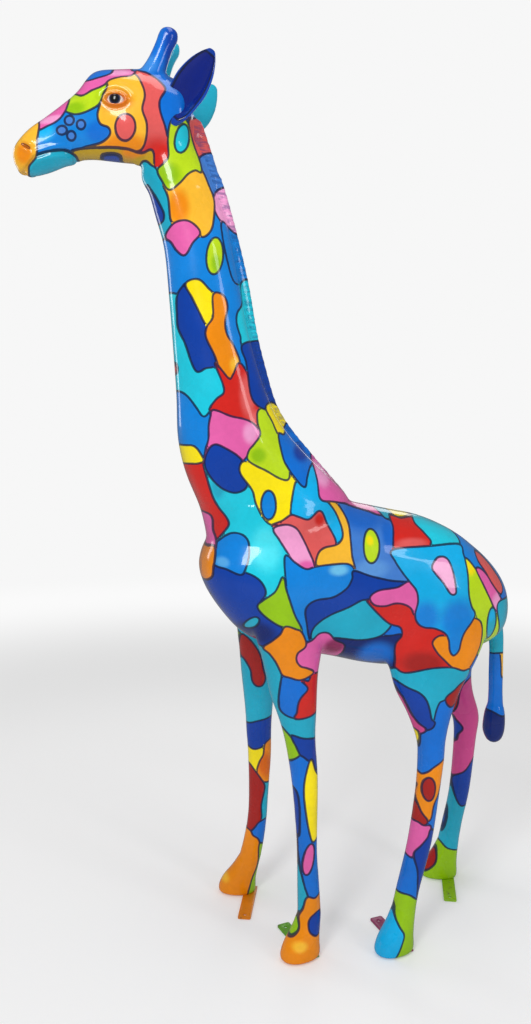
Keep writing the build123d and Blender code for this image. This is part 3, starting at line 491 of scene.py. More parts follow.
RIGHT_PATCHES = [
    patch(TEAL, (-20, 90), (6, 92), (10, 70), (8, 40), (8, -4), (-26, -4), (-22, 30), (-18, 60)),
    patch(GREEN, (-16, 92), (-9.6, 88), (-9, 84), (-9.4, 79.6), (-12, 79), (-16, 84)),
    patch(CRIMSON, (-9.2, 87.2), (-7.7, 87), (-5.4, 84.4), (-3.5, 80.8), (-2.5, 76.4), (-1.8, 73.6),
          (-2.6, 71.4), (-4.2, 71.2), (-5.5, 72.8), (-6.1, 76.4), (-7.7, 79.4), (-9.2, 81.6)),
    patch(NAVY, (-11, 57.2), (-7.7, 57.6), (-5.4, 58.4), (-2.6, 59.3), (4, 59.6), (4, 51), (0.2, 50.4),
          (-1.6, 50.6), (-3.4, 49.6), (-5.6, 49.4), (-7, 50.6), (-11, 52)),
    patch(GREEN, (-11, 51), (-7, 50.4), (-6.4, 48), (-7, 46.2), (-11, 46)),
    patch(YELLOW, (-7, 50), (-5, 49.4), (-2.6, 50), (-0.8, 51.2), (0.2, 50), (-1.6, 47.6),
          (-2.8, 45.4), (-3.6, 42), (-4.6, 43), (-6.2, 45)),
    patch(ORANGE, (-0.8, 51.6), (3.5, 51.4), (3.5, 39), (-0.6, 38.4), (-2.4, 39.8), (-3.6, 41.8),
          (-2.8, 45.4), (-1.6, 47.8), tones=(((224, 104, 8), (1, 45), (3, 5)),)),
    patch(CRIMSON, (-11, 45), (-6.6, 44.6), (-4.8, 42.8), (-2.6, 39.6), (-1.4, 37.4), (-1.4, 35.4),
          (-2.4, 30.6), (-2.3, 26.6), (-3, 24.2), (-5, 22.2), (-6.4, 22), (-7, 26), (-11, 34)),
    patch(BLUE, (-2.4, 25), (1, 25), (3, 20), (1, 16.6), (-2.4, 16.8), (-3, 19), (-4.6, 20),
          (-5.6, 21), (-4.2, 23)),
    patch(ORANGE, (-9, 22), (-6, 22), (-5, 20.4), (-3.4, 19.2), (-2.8, 17), (-2.8, 12), (-3.4, 9),
          (-5, 5.6), (-6.6, 2), (-8, -3), (-25, -4), (-25, 10), (-14, 12), (-11, 18),
          tones=((AMBER, (-12.4, 4.6), (2.4, 2.2)),)),
    patch(GREEN, (-2.6, 17.2), (-1, 16.6), (4, 16), (4, 4), (-2, -1), (-6.4, -1), (-5, 5.4),
          (-3.4, 9), (-2.8, 12)),
    patch(TEAL, (56, 62), (62, 66), (76, 62), (80, 40), (76, -4), (46, -4), (52, 20), (54, 44)),
    patch(CRIMSON, (52, 68), (60, 66), (63.4, 65.4), (62.4, 61.4), (60.8, 57), (60, 53), (59.6, 48),
          (58, 45), (54, 50), (53, 60)),
    patch(ROSE, (63.4, 68), (62, 60), (61, 56.4), (62.2, 55), (64, 52.6), (63, 50.4), (62.4, 46.6),
          (61.7, 41), (61.8, 36.8), (62.8, 35.4), (65.6, 37.6), (69, 41.8), (74, 50), (78, 60),
          (72, 70)),
    patch(NAVY, (60.9, 56.6), (62.2, 55), (64, 52.6), (63, 50.4), (62.4, 48), (60, 48.6), (59.8, 53)),
    patch(LIME, (59.6, 48.4), (60.8, 46.4), (61.6, 43.6), (61.5, 41), (60.4, 38.6), (59.2, 38),
          (57.6, 42), (58.2, 46)),
    patch(NAVY, (62.2, 35.4), (65.6, 37.8), (70, 42.5), (72, 36), (68, 27), (65, 25.8), (63.4, 27.6),
          (62.4, 31)),
    patch(BLUE, (55, 31), (59.6, 31), (60.4, 26), (60, 20.6), (58.4, 16), (55, 14), (54, 22)),
    patch(CRIMSON, (55, 15.8), (57.6, 14.6), (57.4, 10), (56.6, 6), (54.6, 3.6), (52.6, 1.4),
          (50, 4), (51, 9), (53, 13)),
    patch(GREEN, (57.8, 13.2), (60, 11.2), (63.6, 10), (68, 8), (68, -2), (58, -4), (48, -4),
          (51.6, 0.8), (54.6, 3.4), (56.8, 6.2), (57.4, 10)),
]

MANE_PATCHES = [
    patch(MID, (-16.6, 206), (-12, 204), (-6, 204), (-5, 192), (-10.6, 190.6), (-14, 192), both=True),
    patch(CYAN, (-10.6, 191), (-10.8, 185), (-12.6, 182), (-12.8, 179), (-11.8, 175.8), (-11, 173.6),
          (-3, 173.4), (-2, 190), (-6, 192), both=True),
    patch(NAVY, (-11.2, 173.6), (-10.4, 169), (-10, 165.8), (-9.4, 160.4), (-8, 157.6), (-5, 156.2),
          (-1.6, 157), (2, 160), (-2, 174), both=True),
    patch(YELLOW, (-4.8, 156.6), (-1.5, 157.6), (4, 152.6), (0.6, 148.8), (-1.4, 149), (-3, 152.6),
          both=True),
    patch(BLUE, (-1.5, 149), (0.4, 149), (3.4, 152.4), (9, 147), (9, 142), (7, 140), (5.6, 137.4),
          (4.6, 135), (2, 137.8), (0.2, 140.6), (-0.8, 143), both=True, tones=((NAVY, (5, 144), (3, 3)),)),
]

OUTER_NODES = [
    "torso_left_shell", "torso_right_shell", "neck_left_shell", "neck_right_shell",
    "head_left_shell", "head_right_shell", "front_left_leg_shell", "front_right_leg_shell",
    "rear_left_leg_shell", "rear_right_leg_shell", "mane_ridge", "tail_stem", "tail_tuft",
    "horn_left", "horn_right", "hoof_front_left", "hoof_front_right", "hoof_rear_left",
    "hoof_rear_right",
]
FINE_NODES = ["head_left_shell", "head_right_shell", "horn_left", "horn_right"]
NODE_SLOT = {
    "torso": "skin_body", "neck": "skin_neck", "head": "skin_head", "front": "skin_leg",
    "rear": "skin_leg", "mane": "mane", "tail": "tail", "horn": "horn", "hoof": "hoof",
}


# ---------------------------------------------------------------- small tools
def deselect():
    """Leaves edit mode and selects nothing."""
    if bpy.context.object and bpy.context.object.mode != "OBJECT":
        bpy.ops.object.mode_set(mode="OBJECT")
    bpy.ops.object.select_all(action="DESELECT")


def linear(colour):
    """Display colour 0-255 to the linear light values that a mesh attribute holds."""
    c = np.array(colour, float) / 255.0
    return np.where(c <= 0.04045, c / 12.92, ((c + 0.055) / 1.055) ** 2.4)


def mesh_object(name, verts, faces):
    """A new object in the scene, made from points and faces."""
    mesh = bpy.data.meshes.new(name)
    mesh.from_pydata([tuple(v) for v in verts], [], [tuple(f) for f in faces])
    mesh.update()
    obj = bpy.data.objects.new(name, mesh)
    bpy.context.scene.collection.objects.link(obj)
    return obj


def place(obj, slot, *nodes):
    """Puts a finished piece on the statue's body, in place of its CAD nodes."""
    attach(obj, BODY)
    if nodes:
        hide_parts(*nodes)


def turned(p):
    """A head point after the head's turn about the upright line through the neck's top."""
    c, s = math.cos(HEAD_TURN), math.sin(HEAD_TURN)
    dy = p[1] - HEAD_PIVOT_Y
    return np.array([p[0] * c - dy * s, HEAD_PIVOT_Y + p[0] * s + dy * c, p[2]])


def step(x, low, high):
    """A soft step from 0 at the low value to 1 at the high one."""
    t = np.clip((x - low) / (high - low), 0.0, 1.0)
    return t * t * (3.0 - 2.0 * t)


def spline(p0, p1, p2, p3, t):
    """The point a share t of the way from p1 to p2 on a smooth line through all four."""
    return 0.5 * (2 * p1 + (p2 - p0) * t + (2 * p0 - 5 * p1 + 4 * p2 - p3) * t ** 2
                  + (3 * p1 - p0 - 3 * p2 + p3) * t ** 3)


# ---------------------------------------------------------------- closed lofts
def catmull(rows, between):
    """Points on a smooth line through the rows, with so many steps between each two."""
    rows = np.array(rows, float)
    ends = np.vstack([2 * rows[0] - rows[1], rows, 2 * rows[-1] - rows[-2]])
    out = []
    for i in range(1, len(ends) - 2):
        for k in range(between):
            out.append(spline(*ends[i - 1:i + 3], k / between))
    out.append(rows[-1])
    return np.array(out)


def tube_faces(around, rings):
    """The faces of a tube of rings with both its ends closed."""
    faces = []
    for i in range(rings - 1):
        for j in range(around):
            k = (j + 1) % around
            faces.append((i * around + j, i * around + k, (i + 1) * around + k, (i + 1) * around + j))
    faces.append(tuple(reversed(range(around))))
    faces.append(tuple(range((rings - 1) * around, rings * around)))
    return faces


def loft(sections, around=28, between=4, power=2.0):
    """A closed tube: each section is centre, first half axis and second half axis, in metres.

    A power of 2 gives round sections, and a larger one squarer sections.
    """
    rows = catmull([np.concatenate(s) for s in sections], between)
    angles = np.arange(around) * 2 * math.pi / around
    cos = np.sign(np.cos(angles)) * np.abs(np.cos(angles)) ** (2.0 / power)
    sin = np.sign(np.sin(angles)) * np.abs(np.sin(angles)) ** (2.0 / power)
    verts = []
    for row in rows:
        verts += list(row[:3] + np.outer(cos, row[3:6]) + np.outer(sin, row[6:9]))
    return verts, tube_faces(around, len(rows))


def span_section(a, b, half, turn=False):
    """A section that stands between two points of the statue's middle plane."""
    low = np.array([0.0, a[0], a[1]]) * MM
    high = np.array([0.0, b[0], b[1]]) * MM
    if turn:
        low, high = turned(low), turned(high)
        side = turned(np.array([half * MM, 0.0, 0.0])) - turned(np.zeros(3))
    else:
        side = np.array([half * MM, 0.0, 0.0])
    return [(low + high) / 2, side, (high - low) / 2]


def flat_section(x, y, z, half_x, half_y, splay=0.0):
    """A level section, turned by the splay about its own centre."""
    c, s = math.cos(splay), math.sin(splay)
    return [np.array([x, y, z]) * MM, np.array([half_x * c, half_x * s, 0.0]) * MM,
            np.array([-half_y * s, half_y * c, 0.0]) * MM]


def path_sections(rows):
    """Round sections square to a path of (x, y, z, radius)."""
    rows = np.array(rows, float) * MM
    out = []
    for i, row in enumerate(rows):
        ahead = rows[min(i + 1, len(rows) - 1), :3] - rows[max(i - 1, 0), :3]
        ahead /= np.linalg.norm(ahead)
        side = np.cross(ahead, [1.0, 0.0, 0.0] if abs(ahead[0]) < 0.8 else [0.0, 1.0, 0.0])
        side /= np.linalg.norm(side)
        out.append([row[:3], side * row[3], np.cross(ahead, side) * row[3]])
    return out


def hoof_sections(leg):
    """The hoof's level sections, from the fetlock down to the sole, reaching forwards as they go."""
    x, y, z, half_x, half_y = LEGS[leg][-1]
    reach = HOOF_REACH[leg]
    side = 1.0 if x > 0 else -1.0
    splay = HOOF_SPLAY * side
    way = np.array([math.sin(splay), -math.cos(splay)])
    rows = [(0.0, z, 0, 0), (0.40, 88, 3, 8), (0.85, 48, 8, 20), (1.0, 16, 11, 26), (1.0, 2, 8, 23)]
    out = []
    for share, height, wider, longer in rows:
        ahead = way * reach * share
        out.append(flat_section(x + ahead[0], y + ahead[1], height, half_x + wider, half_y + longer, splay))
    return out


def mane_sections():
    """Sections square to the mane's edge, sunk into the neck by the mane's depth."""
    edge = np.array(MANE_EDGE, float)
    out = []
    for i, p in enumerate(edge):
        ahead = edge[min(i + 1, len(edge) - 1)] - edge[max(i - 1, 0)]
        ahead /= np.linalg.norm(ahead)
        inward = np.array([ahead[1], -ahead[0]])
        centre = p + inward * MANE_DEPTH / 2
        out.append([np.array([0, centre[0], centre[1]]) * MM, np.array([MANE_HALF, 0, 0]) * MM,
                    np.array([0, -inward[0], -inward[1]]) * MANE_DEPTH / 2 * MM])
    return out


def skin_lofts():
    """All the closed tubes that overlap to make the statue's outer form, as one set of faces."""
    torso = [span_section((y, low), (y, high), half) for y, low, high, half in TORSO]
    parts = [
        loft(torso, 40, 4, TORSO_SQUARENESS),
        loft([span_section(a, b, half) for a, b, half in NECK], 36, 4, NECK_SQUARENESS),
        loft([span_section(a, b, half, True) for a, b, half in HEAD], 36, 4, HEAD_SQUARENESS),
        loft(mane_sections(), 16, 3, MANE_SQUARENESS),
        loft(path_sections([(0, y, z, r) for y, z, r in TAIL_STEM]), 20),
        loft(path_sections([(0, y, z, r) for y, z, r in TAIL_TUFT]), 20),
    ]
    for leg, rows in LEGS.items():
        parts.append(loft([flat_section(*row) for row in rows], 28))
        parts.append(loft(hoof_sections(leg), 28, 4, HOOF_SQUARENESS))
    for side in (1, -1):
        rows = []
        for x, y, z, r in HORN:
            p = turned(np.array([x * side, y, z]) * MM) / MM
            rows.append((p[0], p[1], p[2], r))
        parts.append(loft(path_sections(rows), 20))
    verts, faces = [], []
    for part_verts, part_faces in parts:
        start = len(verts)
        verts += part_verts
        faces += [tuple(i + start for i in f) for f in part_faces]
    return verts, faces


# ---------------------------------------------------------------- whole-skin mesh work
def read_mesh(mesh):
    """A mesh's points and the two ends of each edge."""
    n = len(mesh.vertices)
    co = np.empty(n * 3)
    mesh.vertices.foreach_get("co", co)
    edges = np.empty(len(mesh.edges) * 2, int)
    mesh.edges.foreach_get("vertices", edges)
    return co.reshape(-1, 3), edges.reshape(-1, 2)


def smooth(co, edges, weight, rounds):
    """Moves each point towards the mean of its neighbours by its own weight."""
    n = len(co)
    count = np.maximum(np.bincount(edges.ravel(), minlength=n), 1)
    for _ in range(rounds):
        mean = np.empty_like(co)
        for k in range(3):
            total = np.bincount(edges[:, 0], co[edges[:, 1], k], n)
            total += np.bincount(edges[:, 1], co[edges[:, 0], k], n)
            mean[:, k] = total / count
        co = co + (mean - co) * weight[:, None]
    return co


def vertex_normals(mesh):
    """The direction straight out of the surface at each point."""
    out = np.empty(len(mesh.vertices) * 3)
    mesh.vertices.foreach_get("normal", out)
    return out.reshape(-1, 3)


def node_tree():
    """One search tree over the CAD skin nodes, and the node that each of its faces belongs to."""
    verts, faces, owner = [], [], []
    for number, name in enumerate(OUTER_NODES):
        obj = frame["nodes"][name]
        start = len(verts)
        verts += [obj.matrix_world @ v.co for v in obj.data.vertices]
        for face in obj.data.polygons:
            faces.append([i + start for i in face.vertices])
            owner.append(number)
    return BVHTree.FromPolygons(verts, faces), owner


def label_faces(mesh):
    """The number of the CAD node that lies nearest to each face."""
    tree, owner = node_tree()
    labels = np.empty(len(mesh.polygons), int)
    for i, face in enumerate(mesh.polygons):
        labels[i] = owner[tree.find_nearest(face.center)[2]]
    return labels


def face_pairs(mesh):
    """Every two faces that share an edge."""
    loops = np.empty(len(mesh.loops), int)
    mesh.loops.foreach_get("edge_index", loops)
    totals = np.empty(len(mesh.polygons), int)
    mesh.polygons.foreach_get("loop_total", totals)
    owner = np.repeat(np.arange(len(totals)), totals)
    order = np.argsort(loops, kind="stable")
    edge, face = loops[order], owner[order]
    same = edge[1:] == edge[:-1]
    return np.stack([face[:-1][same], face[1:][same]], 1)


def tidy_labels(labels, pairs, rounds=8):
    """Gives a face its neighbours' label where most of them agree, so that the cuts run smoothly."""
    kinds = len(OUTER_NODES)
    n = len(labels)
    for _ in range(rounds):
        votes = np.zeros((n, kinds))
        np.add.at(votes, (pairs[:, 0], labels[pairs[:, 1]]), 1)
        np.add.at(votes, (pairs[:, 1], labels[pairs[:, 0]]), 1)
        votes[np.arange(n), labels] += 1.01
        labels = votes.argmax(1)
    return labels


def largest_parts(labels, pairs):
    """Keeps the largest joined part of each label and hands the rest to its neighbours."""
    n = len(labels)
    for _ in range(4):
        root = np.arange(n)
        inside = pairs[labels[pairs[:, 0]] == labels[pairs[:, 1]]]
        while True:
            low = np.minimum(root[inside[:, 0]], root[inside[:, 1]])
            new = root.copy()
            np.minimum.at(new, inside[:, 0], low)
            np.minimum.at(new, inside[:, 1], low)
            new = new[new]
            if (new == root).all():
                break
            root = new
        keep = np.zeros(n, bool)
        for kind in range(len(OUTER_NODES)):
            mine = np.flatnonzero(labels == kind)
            if len(mine):
                names, sizes = np.unique(root[mine], return_counts=True)
                keep[mine[root[mine] == names[sizes.argmax()]]] = True
        if keep.all():
            break
        for a, b in ((0, 1), (1, 0)):
            loose = ~keep[pairs[:, a]] & keep[pairs[:, b]]
            labels[pairs[loose, a]] = labels[pairs[loose, b]]
    return labels


# ---------------------------------------------------------------- where a point lies in the paint
def paint_place(co):
    """(along, up) in centimetres as seen from the left, and the side, for each skin point."""
    x, y, z = co[:, 0], co[:, 1], co[:, 2]
    c, s = math.cos(HEAD_TURN), math.sin(HEAD_TURN)
    dy = y - HEAD_PIVOT_Y
    hx, hy = x * c + dy * s, -x * s + dy * c
    mirrored_y = HEAD_PIVOT_Y + np.abs(hx) * s + hy * c
    in_head = step(-y, 0.27, 0.36) * step(z, 2.10, 2.20)
    left = np.where(in_head > 0.5, hx, x) >= 0
    along = np.where(left, y, y * (1 - in_head) + mirrored_y * in_head)
    sideways = np.abs(np.where(in_head > 0.5, hx, x))
    return along / CM, z / CM, left, sideways


def outline_points(item, steps=6):
    """A patch's closed outline as a smooth line of points, in centimetres."""
    if "oval" in item:
        (cy, cz), (ry, rz), tilt = item["oval"]
        t = np.arange(28) * 2 * math.pi / 28
        a, b = ry * np.cos(t), rz * np.sin(t)
        c, s = math.cos(math.radians(tilt)), math.sin(math.radians(tilt))
        return np.stack([cy + a * c + b * s, cz - a * s + b * c], 1)
    pts = np.array(item["points"], float)
    out = []
    n = len(pts)
    for i in range(n):
        for k in range(steps):
            out.append(spline(pts[i - 1], pts[i], pts[(i + 1) % n], pts[(i + 2) % n], k / steps))
    return np.array(out)


def signed_distance(points, line):
    """Distance in centimetres to a closed line, more than nought inside it."""
    a, b = line, np.roll(line, -1, 0)
    out = np.empty(len(points))
    for start in range(0, len(points), 20000):
        p = points[start:start + 20000]
        ab = b - a
        ap = p[:, None] - a[None]
        t = np.clip((ap * ab).sum(2) / np.maximum((ab * ab).sum(1), 1e-12), 0, 1)
        d = np.sqrt(((ap - t[..., None] * ab) ** 2).sum(2)).min(1)
        crosses = (a[None, :, 1] > p[:, None, 1]) != (b[None, :, 1] > p[:, None, 1])
        at = a[:, 0] + (p[:, None, 1] - a[:, 1]) / np.where(ab[:, 1] == 0, 1e-9, ab[:, 1]) * ab[:, 0]
        inside = (crosses & (p[:, None, 0] < at)).sum(1) % 2 == 1
        out[start:start + 20000] = np.where(inside, d, -d)
    return out


# Centimetres: a distance that counts as none, how far each patch is widened so that neighbours meet,
# and the height under which unlike colours that meet on the middle plane get an outline between them.
FAR = 50.0
OVERLAP = 0.2
MIDDLE_LINE_TOP = 112.0
# Metres from the middle plane: where the left patches and the far leg's own patches stop.
LEFT_PAST_MIDDLE = 0.012
FAR_LEG_INNER = 0.05
RIGHT_SEED = 11


def patch_list():
    """All patches in painting order with where each belongs: both sides, left or right."""
    rows = [(item, "both") for item in SHARED_PATCHES + MANE_PATCHES]
    rows += [(item, "left") for item in LEFT_PATCHES]
    rows += [(item, "right") for item in RIGHT_PATCHES]
    return rows


def right_colours(rows):
    """The far side's own colours: patches over the middle keep theirs, the rest are dealt again."""
    deal = random.Random(RIGHT_SEED)
    out = []
    for item, where in rows:
        colour = item["colour"]
        if where == "both" and not item["both"]:
            colour = item["right"] or deal.choice([c for c in RIGHT_PALETTE if c != colour])
        out.append(colour)
    return out


def paint_skin(co):
    """Each skin point's place in the paint, and its distance in centimetres into every patch.

    The far side's patches are those of the near side, bent by slow waves below the head.
    """
    along, up, left, sideways = paint_place(co)
    away = step(sideways, 0.02, 0.10)
    right = ~left
    wave_a = 2.2 * np.sin(up / 17.0) + 1.3 * np.sin(up / 7.3 + 1.0)
    wave_b = 2.0 * np.sin(along / 15.0 + 0.6) + 1.1 * np.sin(along / 6.1)
    body = step(216.0 - up, 0.0, 10.0)
    along = along + np.where(right, wave_a * away * body, 0.0)
    up = up + np.where(right, wave_b * away * body, 0.0)
    raw = np.stack([co[:, 1] / CM, co[:, 2] / CM], 1)
    points = np.stack([along, up], 1)
    rows = patch_list()
    dist = np.full((len(co), len(rows)), -FAR, np.float32)
    for k, (item, where) in enumerate(rows):
        line = outline_points(item)
        low, high = line.min(0) - 2.0, line.max(0) + 2.0
        src = raw if where == "right" else points
        near = ((src > low) & (src < high)).all(1)
        if where == "left":
            near &= left | (sideways < 0.02)
        if where == "right":
            near &= co[:, 0] < -0.02
        idx = np.flatnonzero(near)
        if len(idx) == 0:
            continue
        d = signed_distance(src[idx], line)
        if where == "right":
            d = np.minimum(d, (-FAR_LEG_INNER - co[idx, 0]) / CM)
        if where == "left":
            d = np.minimum(d, (co[idx, 0] + LEFT_PAST_MIDDLE) / CM)
        dist[idx, k] = (d + OVERLAP) * item["thin"]
    return points, left, sideways, rows, dist


def colour_of(k, points, left, rows, far_colours):
    """Linear colour of patch k at some points; -1 is the base coat under all patches."""
    if k < 0:
        t = step(points[:, 1], BASE_CHANGE - BASE_CHANGE_HALF, BASE_CHANGE + BASE_CHANGE_HALF)[:, None]
        return linear(BLUE) * (1 - t) + linear(MID) * t
    item = rows[k][0]
    out = np.where(left[:, None], linear(item["colour"]), linear(far_colours[k]))
    # Tones: soft colour changes inside a patch; some are painted shade and painted highlights.
    for colour, (cy, cz), (ry, rz) in item["tones"]:
        r = np.hypot((points[:, 0] - cy) / ry, (points[:, 1] - cz) / rz)
        t = (1 - step(r, 0.45, 1.15))[:, None]
        keep = left[:, None] | (tuple(far_colours[k]) == tuple(item["colour"]))
        out = np.where(keep, out * (1 - t) + linear(colour) * t, out)
    return out


def corner_paint(faces_flat, totals, points, left, sideways, rows, dist):
    """Two colours and a signed edge distance for each face corner, so that outlines stay sharp."""
    far_colours = right_colours(rows)
    n = len(points)
    order = np.arange(dist.shape[1])
    top = np.where(dist > 0, order, -1).max(1)
    own = np.where(top >= 0, dist[np.arange(n), np.maximum(top, 0)], FAR)
    above = np.where(order[None] > top[:, None], -dist, FAR).min(1)
    clear = np.minimum(own, above)
    starts = np.concatenate([[0], np.cumsum(totals)[:-1]])
    face_of = np.repeat(np.arange(len(totals)), totals)
    corner_top = top[faces_flat]
    face_high = np.maximum.reduceat(corner_top, starts)
    high = face_high[face_of]
    other = np.where(corner_top == high, -2, corner_top)
    face_low = np.maximum.reduceat(other, starts)
    low = np.where(face_low == -2, face_high, face_low)[face_of]
    crossing = (face_low != -2)[face_of]
    signed = dist[faces_flat, np.maximum(high, 0)]
    edge = np.where(crossing, signed, clear[faces_flat]) * CM / MM
    uneven = [tuple(far) != tuple(item["colour"]) for far, (item, _) in zip(far_colours, rows)]
    uneven = np.array(uneven + [False])
    middle = np.maximum(sideways[faces_flat] / MM - 1.2, 0.0)
    split = uneven[corner_top] & (points[faces_flat, 1] < MIDDLE_LINE_TOP) & (middle < np.abs(edge))
    edge = np.where(split, np.where(edge < 0, -middle, middle), edge)
    paint = []
    for which in (high, low):
        out = np.zeros((len(faces_flat), 3))
        for k in np.unique(which):
            mine = np.flatnonzero(which == k)
            v = faces_flat[mine]
            out[mine] = colour_of(int(k), points[v], left[v], rows, far_colours)
        paint.append(out)
    return paint[0], paint[1], edge


# ---------------------------------------------------------------- modelling the surface
def line_distance(points, line):
    """Distance from points to an open line of points, both in centimetres."""
    line = np.array(line, float)
    a, b = line[:-1], line[1:]
    ab = b - a
    ap = points[:, None] - a[None]
    t = np.clip((ap * ab).sum(2) / (ab * ab).sum(1), 0, 1)
    return np.sqrt(((ap - t[..., None] * ab) ** 2).sum(2)).min(1)


# Places on the head as (along, up) and half sizes, in centimetres; heights and depths, in metres.
EYE_SPOT = (-44.6, 236.0)
EYE_TILT = math.radians(4.0)
LID_OPENING = (2.15, 1.10)
LID_SWELL = 0.0080
SOCKET_DEPTH = 0.0150
CREASE_HALF = (3.3, 2.45)
NOSTRIL_SPOT = (-68.1, 225.3)
NOSTRIL_SLANT = math.radians(-31.0)
NOSTRIL_DEPTH = 0.0052
NOSTRIL_RIM = 0.0035
MOUTH_LINE = [
    (-70.5, 218.6), (-68.4, 219.8), (-65.7, 222.6), (-61.8, 223.8), (-58.2, 224.2), (-55.8, 223.6),
]
MOUTH_DEPTH = 0.0045
LIP_SWELL = 0.0028
LIPS_FROM = -56
JAW_LINE = [(-54, 223.0), (-50, 222.6), (-45, 222.4), (-40, 222.6)]
JAW_DEPTH = 0.0030
# Cheek, brow and the hollow before the eye: height, centre, half sizes, and whether the swell leaves
# out the middle of the head.
HEAD_SWELLS = [
    (0.0060, (-41.5, 228.6), (4.0, 3.2), False),
    (0.0050, (-43.5, 240.6), (4.5, 1.5), True),
    (-0.0050, (-52.0, 233.0), (3.5, 3.0), True),
]
THROAT = (-37.0, 219.6)
THROAT_HALF = 3.8
THROAT_SWELL = 0.016
THROAT_AIM = np.array([0.0, -0.7, -0.7])


def hump(value, centre, half):
    """A soft hump of height 1 at the centre."""
    return np.exp(-((value - centre) / half) ** 2)


def turned_about(points, spot, angle):
    """The points' places along and across a direction through a spot."""
    along, across = points[:, 0] - spot[0], points[:, 1] - spot[1]
    c, s = math.cos(angle), math.sin(angle)
    return along * c + across * s, across * c - along * s


def eye_relief(points, side):
    """The socket, the two lids round its opening, and the creases above and below them."""
    across, above = turned_about(points, EYE_SPOT, -EYE_TILT)
    ring = np.hypot(across / LID_OPENING[0], above / LID_OPENING[1])
    crease = np.hypot(across / CREASE_HALF[0], above / CREASE_HALF[1])
    upper, lower = step(above, -0.4, 0.8), step(-above, -0.2, 0.8)
    out = LID_SWELL * hump(ring, 1.34, 0.24)
    out -= SOCKET_DEPTH * (1 - step(ring, 0.75, 1.12))
    out -= upper * 0.0028 * hump(crease, 1.02, 0.10)
    out += upper * 0.0035 * hump(crease, 1.30, 0.22)
    out -= lower * 0.0018 * hump(crease, 1.00, 0.12)
    return side * out


def nostril_relief(points, sideways):
    """A slanting slit with a raised rim on each side of the muzzle."""
    na, nb = turned_about(points, NOSTRIL_SPOT, NOSTRIL_SLANT)
    out = NOSTRIL_RIM * np.exp(-(na / 1.8) ** 4 - ((np.abs(nb) - 0.95) / 0.5) ** 2)
    out -= NOSTRIL_DEPTH * np.exp(-(na / 1.35) ** 4 - (nb / 0.36) ** 2)
    return step(sideways, 0.012, 0.022) * out


def mouth_relief(points):
    """The mouth line with its lips, and the line under the jaw."""
    ends = np.array(MOUTH_LINE)
    lips = points[:, 1] - np.interp(points[:, 0], ends[:, 0], ends[:, 1])
    out = (points[:, 0] < LIPS_FROM) * LIP_SWELL * hump(np.abs(lips), 1.1, 0.7)
    out -= MOUTH_DEPTH * hump(line_distance(points, MOUTH_LINE), 0.0, 0.42)
    out -= JAW_DEPTH * hump(line_distance(points, JAW_LINE), 0.0, 0.8)
    return out


def model_head(co, normals):
    """Eye sockets and lids, nostrils, mouth, cheek and brow along the normals, and the throat."""
    along, up, _, sideways = paint_place(co)
    idx = np.flatnonzero((along < -30) & (up > 214))
    points = np.stack([along, up], 1)[idx]
    side = step(sideways[idx], 0.03, 0.05)
    relief = eye_relief(points, side) + nostril_relief(points, sideways[idx]) + mouth_relief(points)
    for amount, centre, half, off_middle in HEAD_SWELLS:
        swell = amount * hump(points[:, 0], centre[0], half[0]) * hump(points[:, 1], centre[1], half[1])
        relief += swell * side if off_middle else swell
    out = np.zeros(len(co))
    out[idx] = relief
    throat = THROAT_SWELL * (sideways < 0.08) * hump(sideways, 0.0, 0.05)
    throat *= hump(along, THROAT[0], THROAT_HALF) * hump(up, THROAT[1], THROAT_HALF)
    return co + normals * out[:, None] + throat[:, None] * THROAT_AIM


# Muscles of shoulder, haunch, breast, flank, withers, back, rump and belly, in metres: height, y, z,
# half length and half height of each swell.
BODY_SWELLS = [
    (0.010, -0.02, 1.05, 0.11, 0.13), (0.008, 0.44, 1.02, 0.13, 0.12),
    (0.008, -0.15, 1.12, 0.06, 0.09), (-0.008, 0.20, 1.02, 0.09, 0.13),
    (-0.006, 0.10, 1.24, 0.08, 0.05), (0.006, 0.30, 1.22, 0.09, 0.05),
    (0.006, 0.50, 1.16, 0.06, 0.06), (0.006, 0.14, 0.89, 0.16, 0.05),
]
NECK_RIPPLE = 0.0025


def model_body(co, normals):
    """Muscle swells on the body, and slow ripples along the neck's two sides."""
    x, y, z = co[:, 0], co[:, 1], co[:, 2]
    out = np.zeros(len(co))
    wide = step(np.abs(x), 0.02, 0.09)
    for amount, cy, cz, ry, rz in BODY_SWELLS:
        out += wide * amount * hump(y, cy, ry) * hump(z, cz, rz)
    neck = (z > 1.30) & (z < 2.15)
    out += neck * step(np.abs(x), 0.03, 0.07) * NECK_RIPPLE * np.sin(z * 9.0 + y * 14.0)
    return co + normals * out[:, None]


def mane_frame(co):
    """Each point's place along the mane's edge and its depth in from it, in metres."""
    edge = catmull(np.array(MANE_EDGE, float) * MM, 6)
    near = np.empty(len(co), int)
    for start in range(0, len(co), 20000):
        p = co[start:start + 20000, 1:3]
        near[start:start + 20000] = ((p[:, None] - edge[None]) ** 2).sum(2).argmin(1)
    length = np.concatenate([[0], np.cumsum(np.linalg.norm(np.diff(edge, axis=0), axis=1))])
    ahead = np.gradient(edge, axis=0)
    ahead /= np.linalg.norm(ahead, axis=1)[:, None]
    rel = co[:, 1:3] - edge[near]
    along = length[near] + (rel * ahead[near]).sum(1)
    depth = rel[:, 0] * ahead[near, 1] - rel[:, 1] * ahead[near, 0]
    return along, depth


# Metres: the spacing of the mane's broad and fine strands, and the height of the broad ones.
STRAND = 0.026
FINE_STRAND = 0.0155
STRAND_HEIGHT = 0.0004
STRAND_LEAN = 0.55


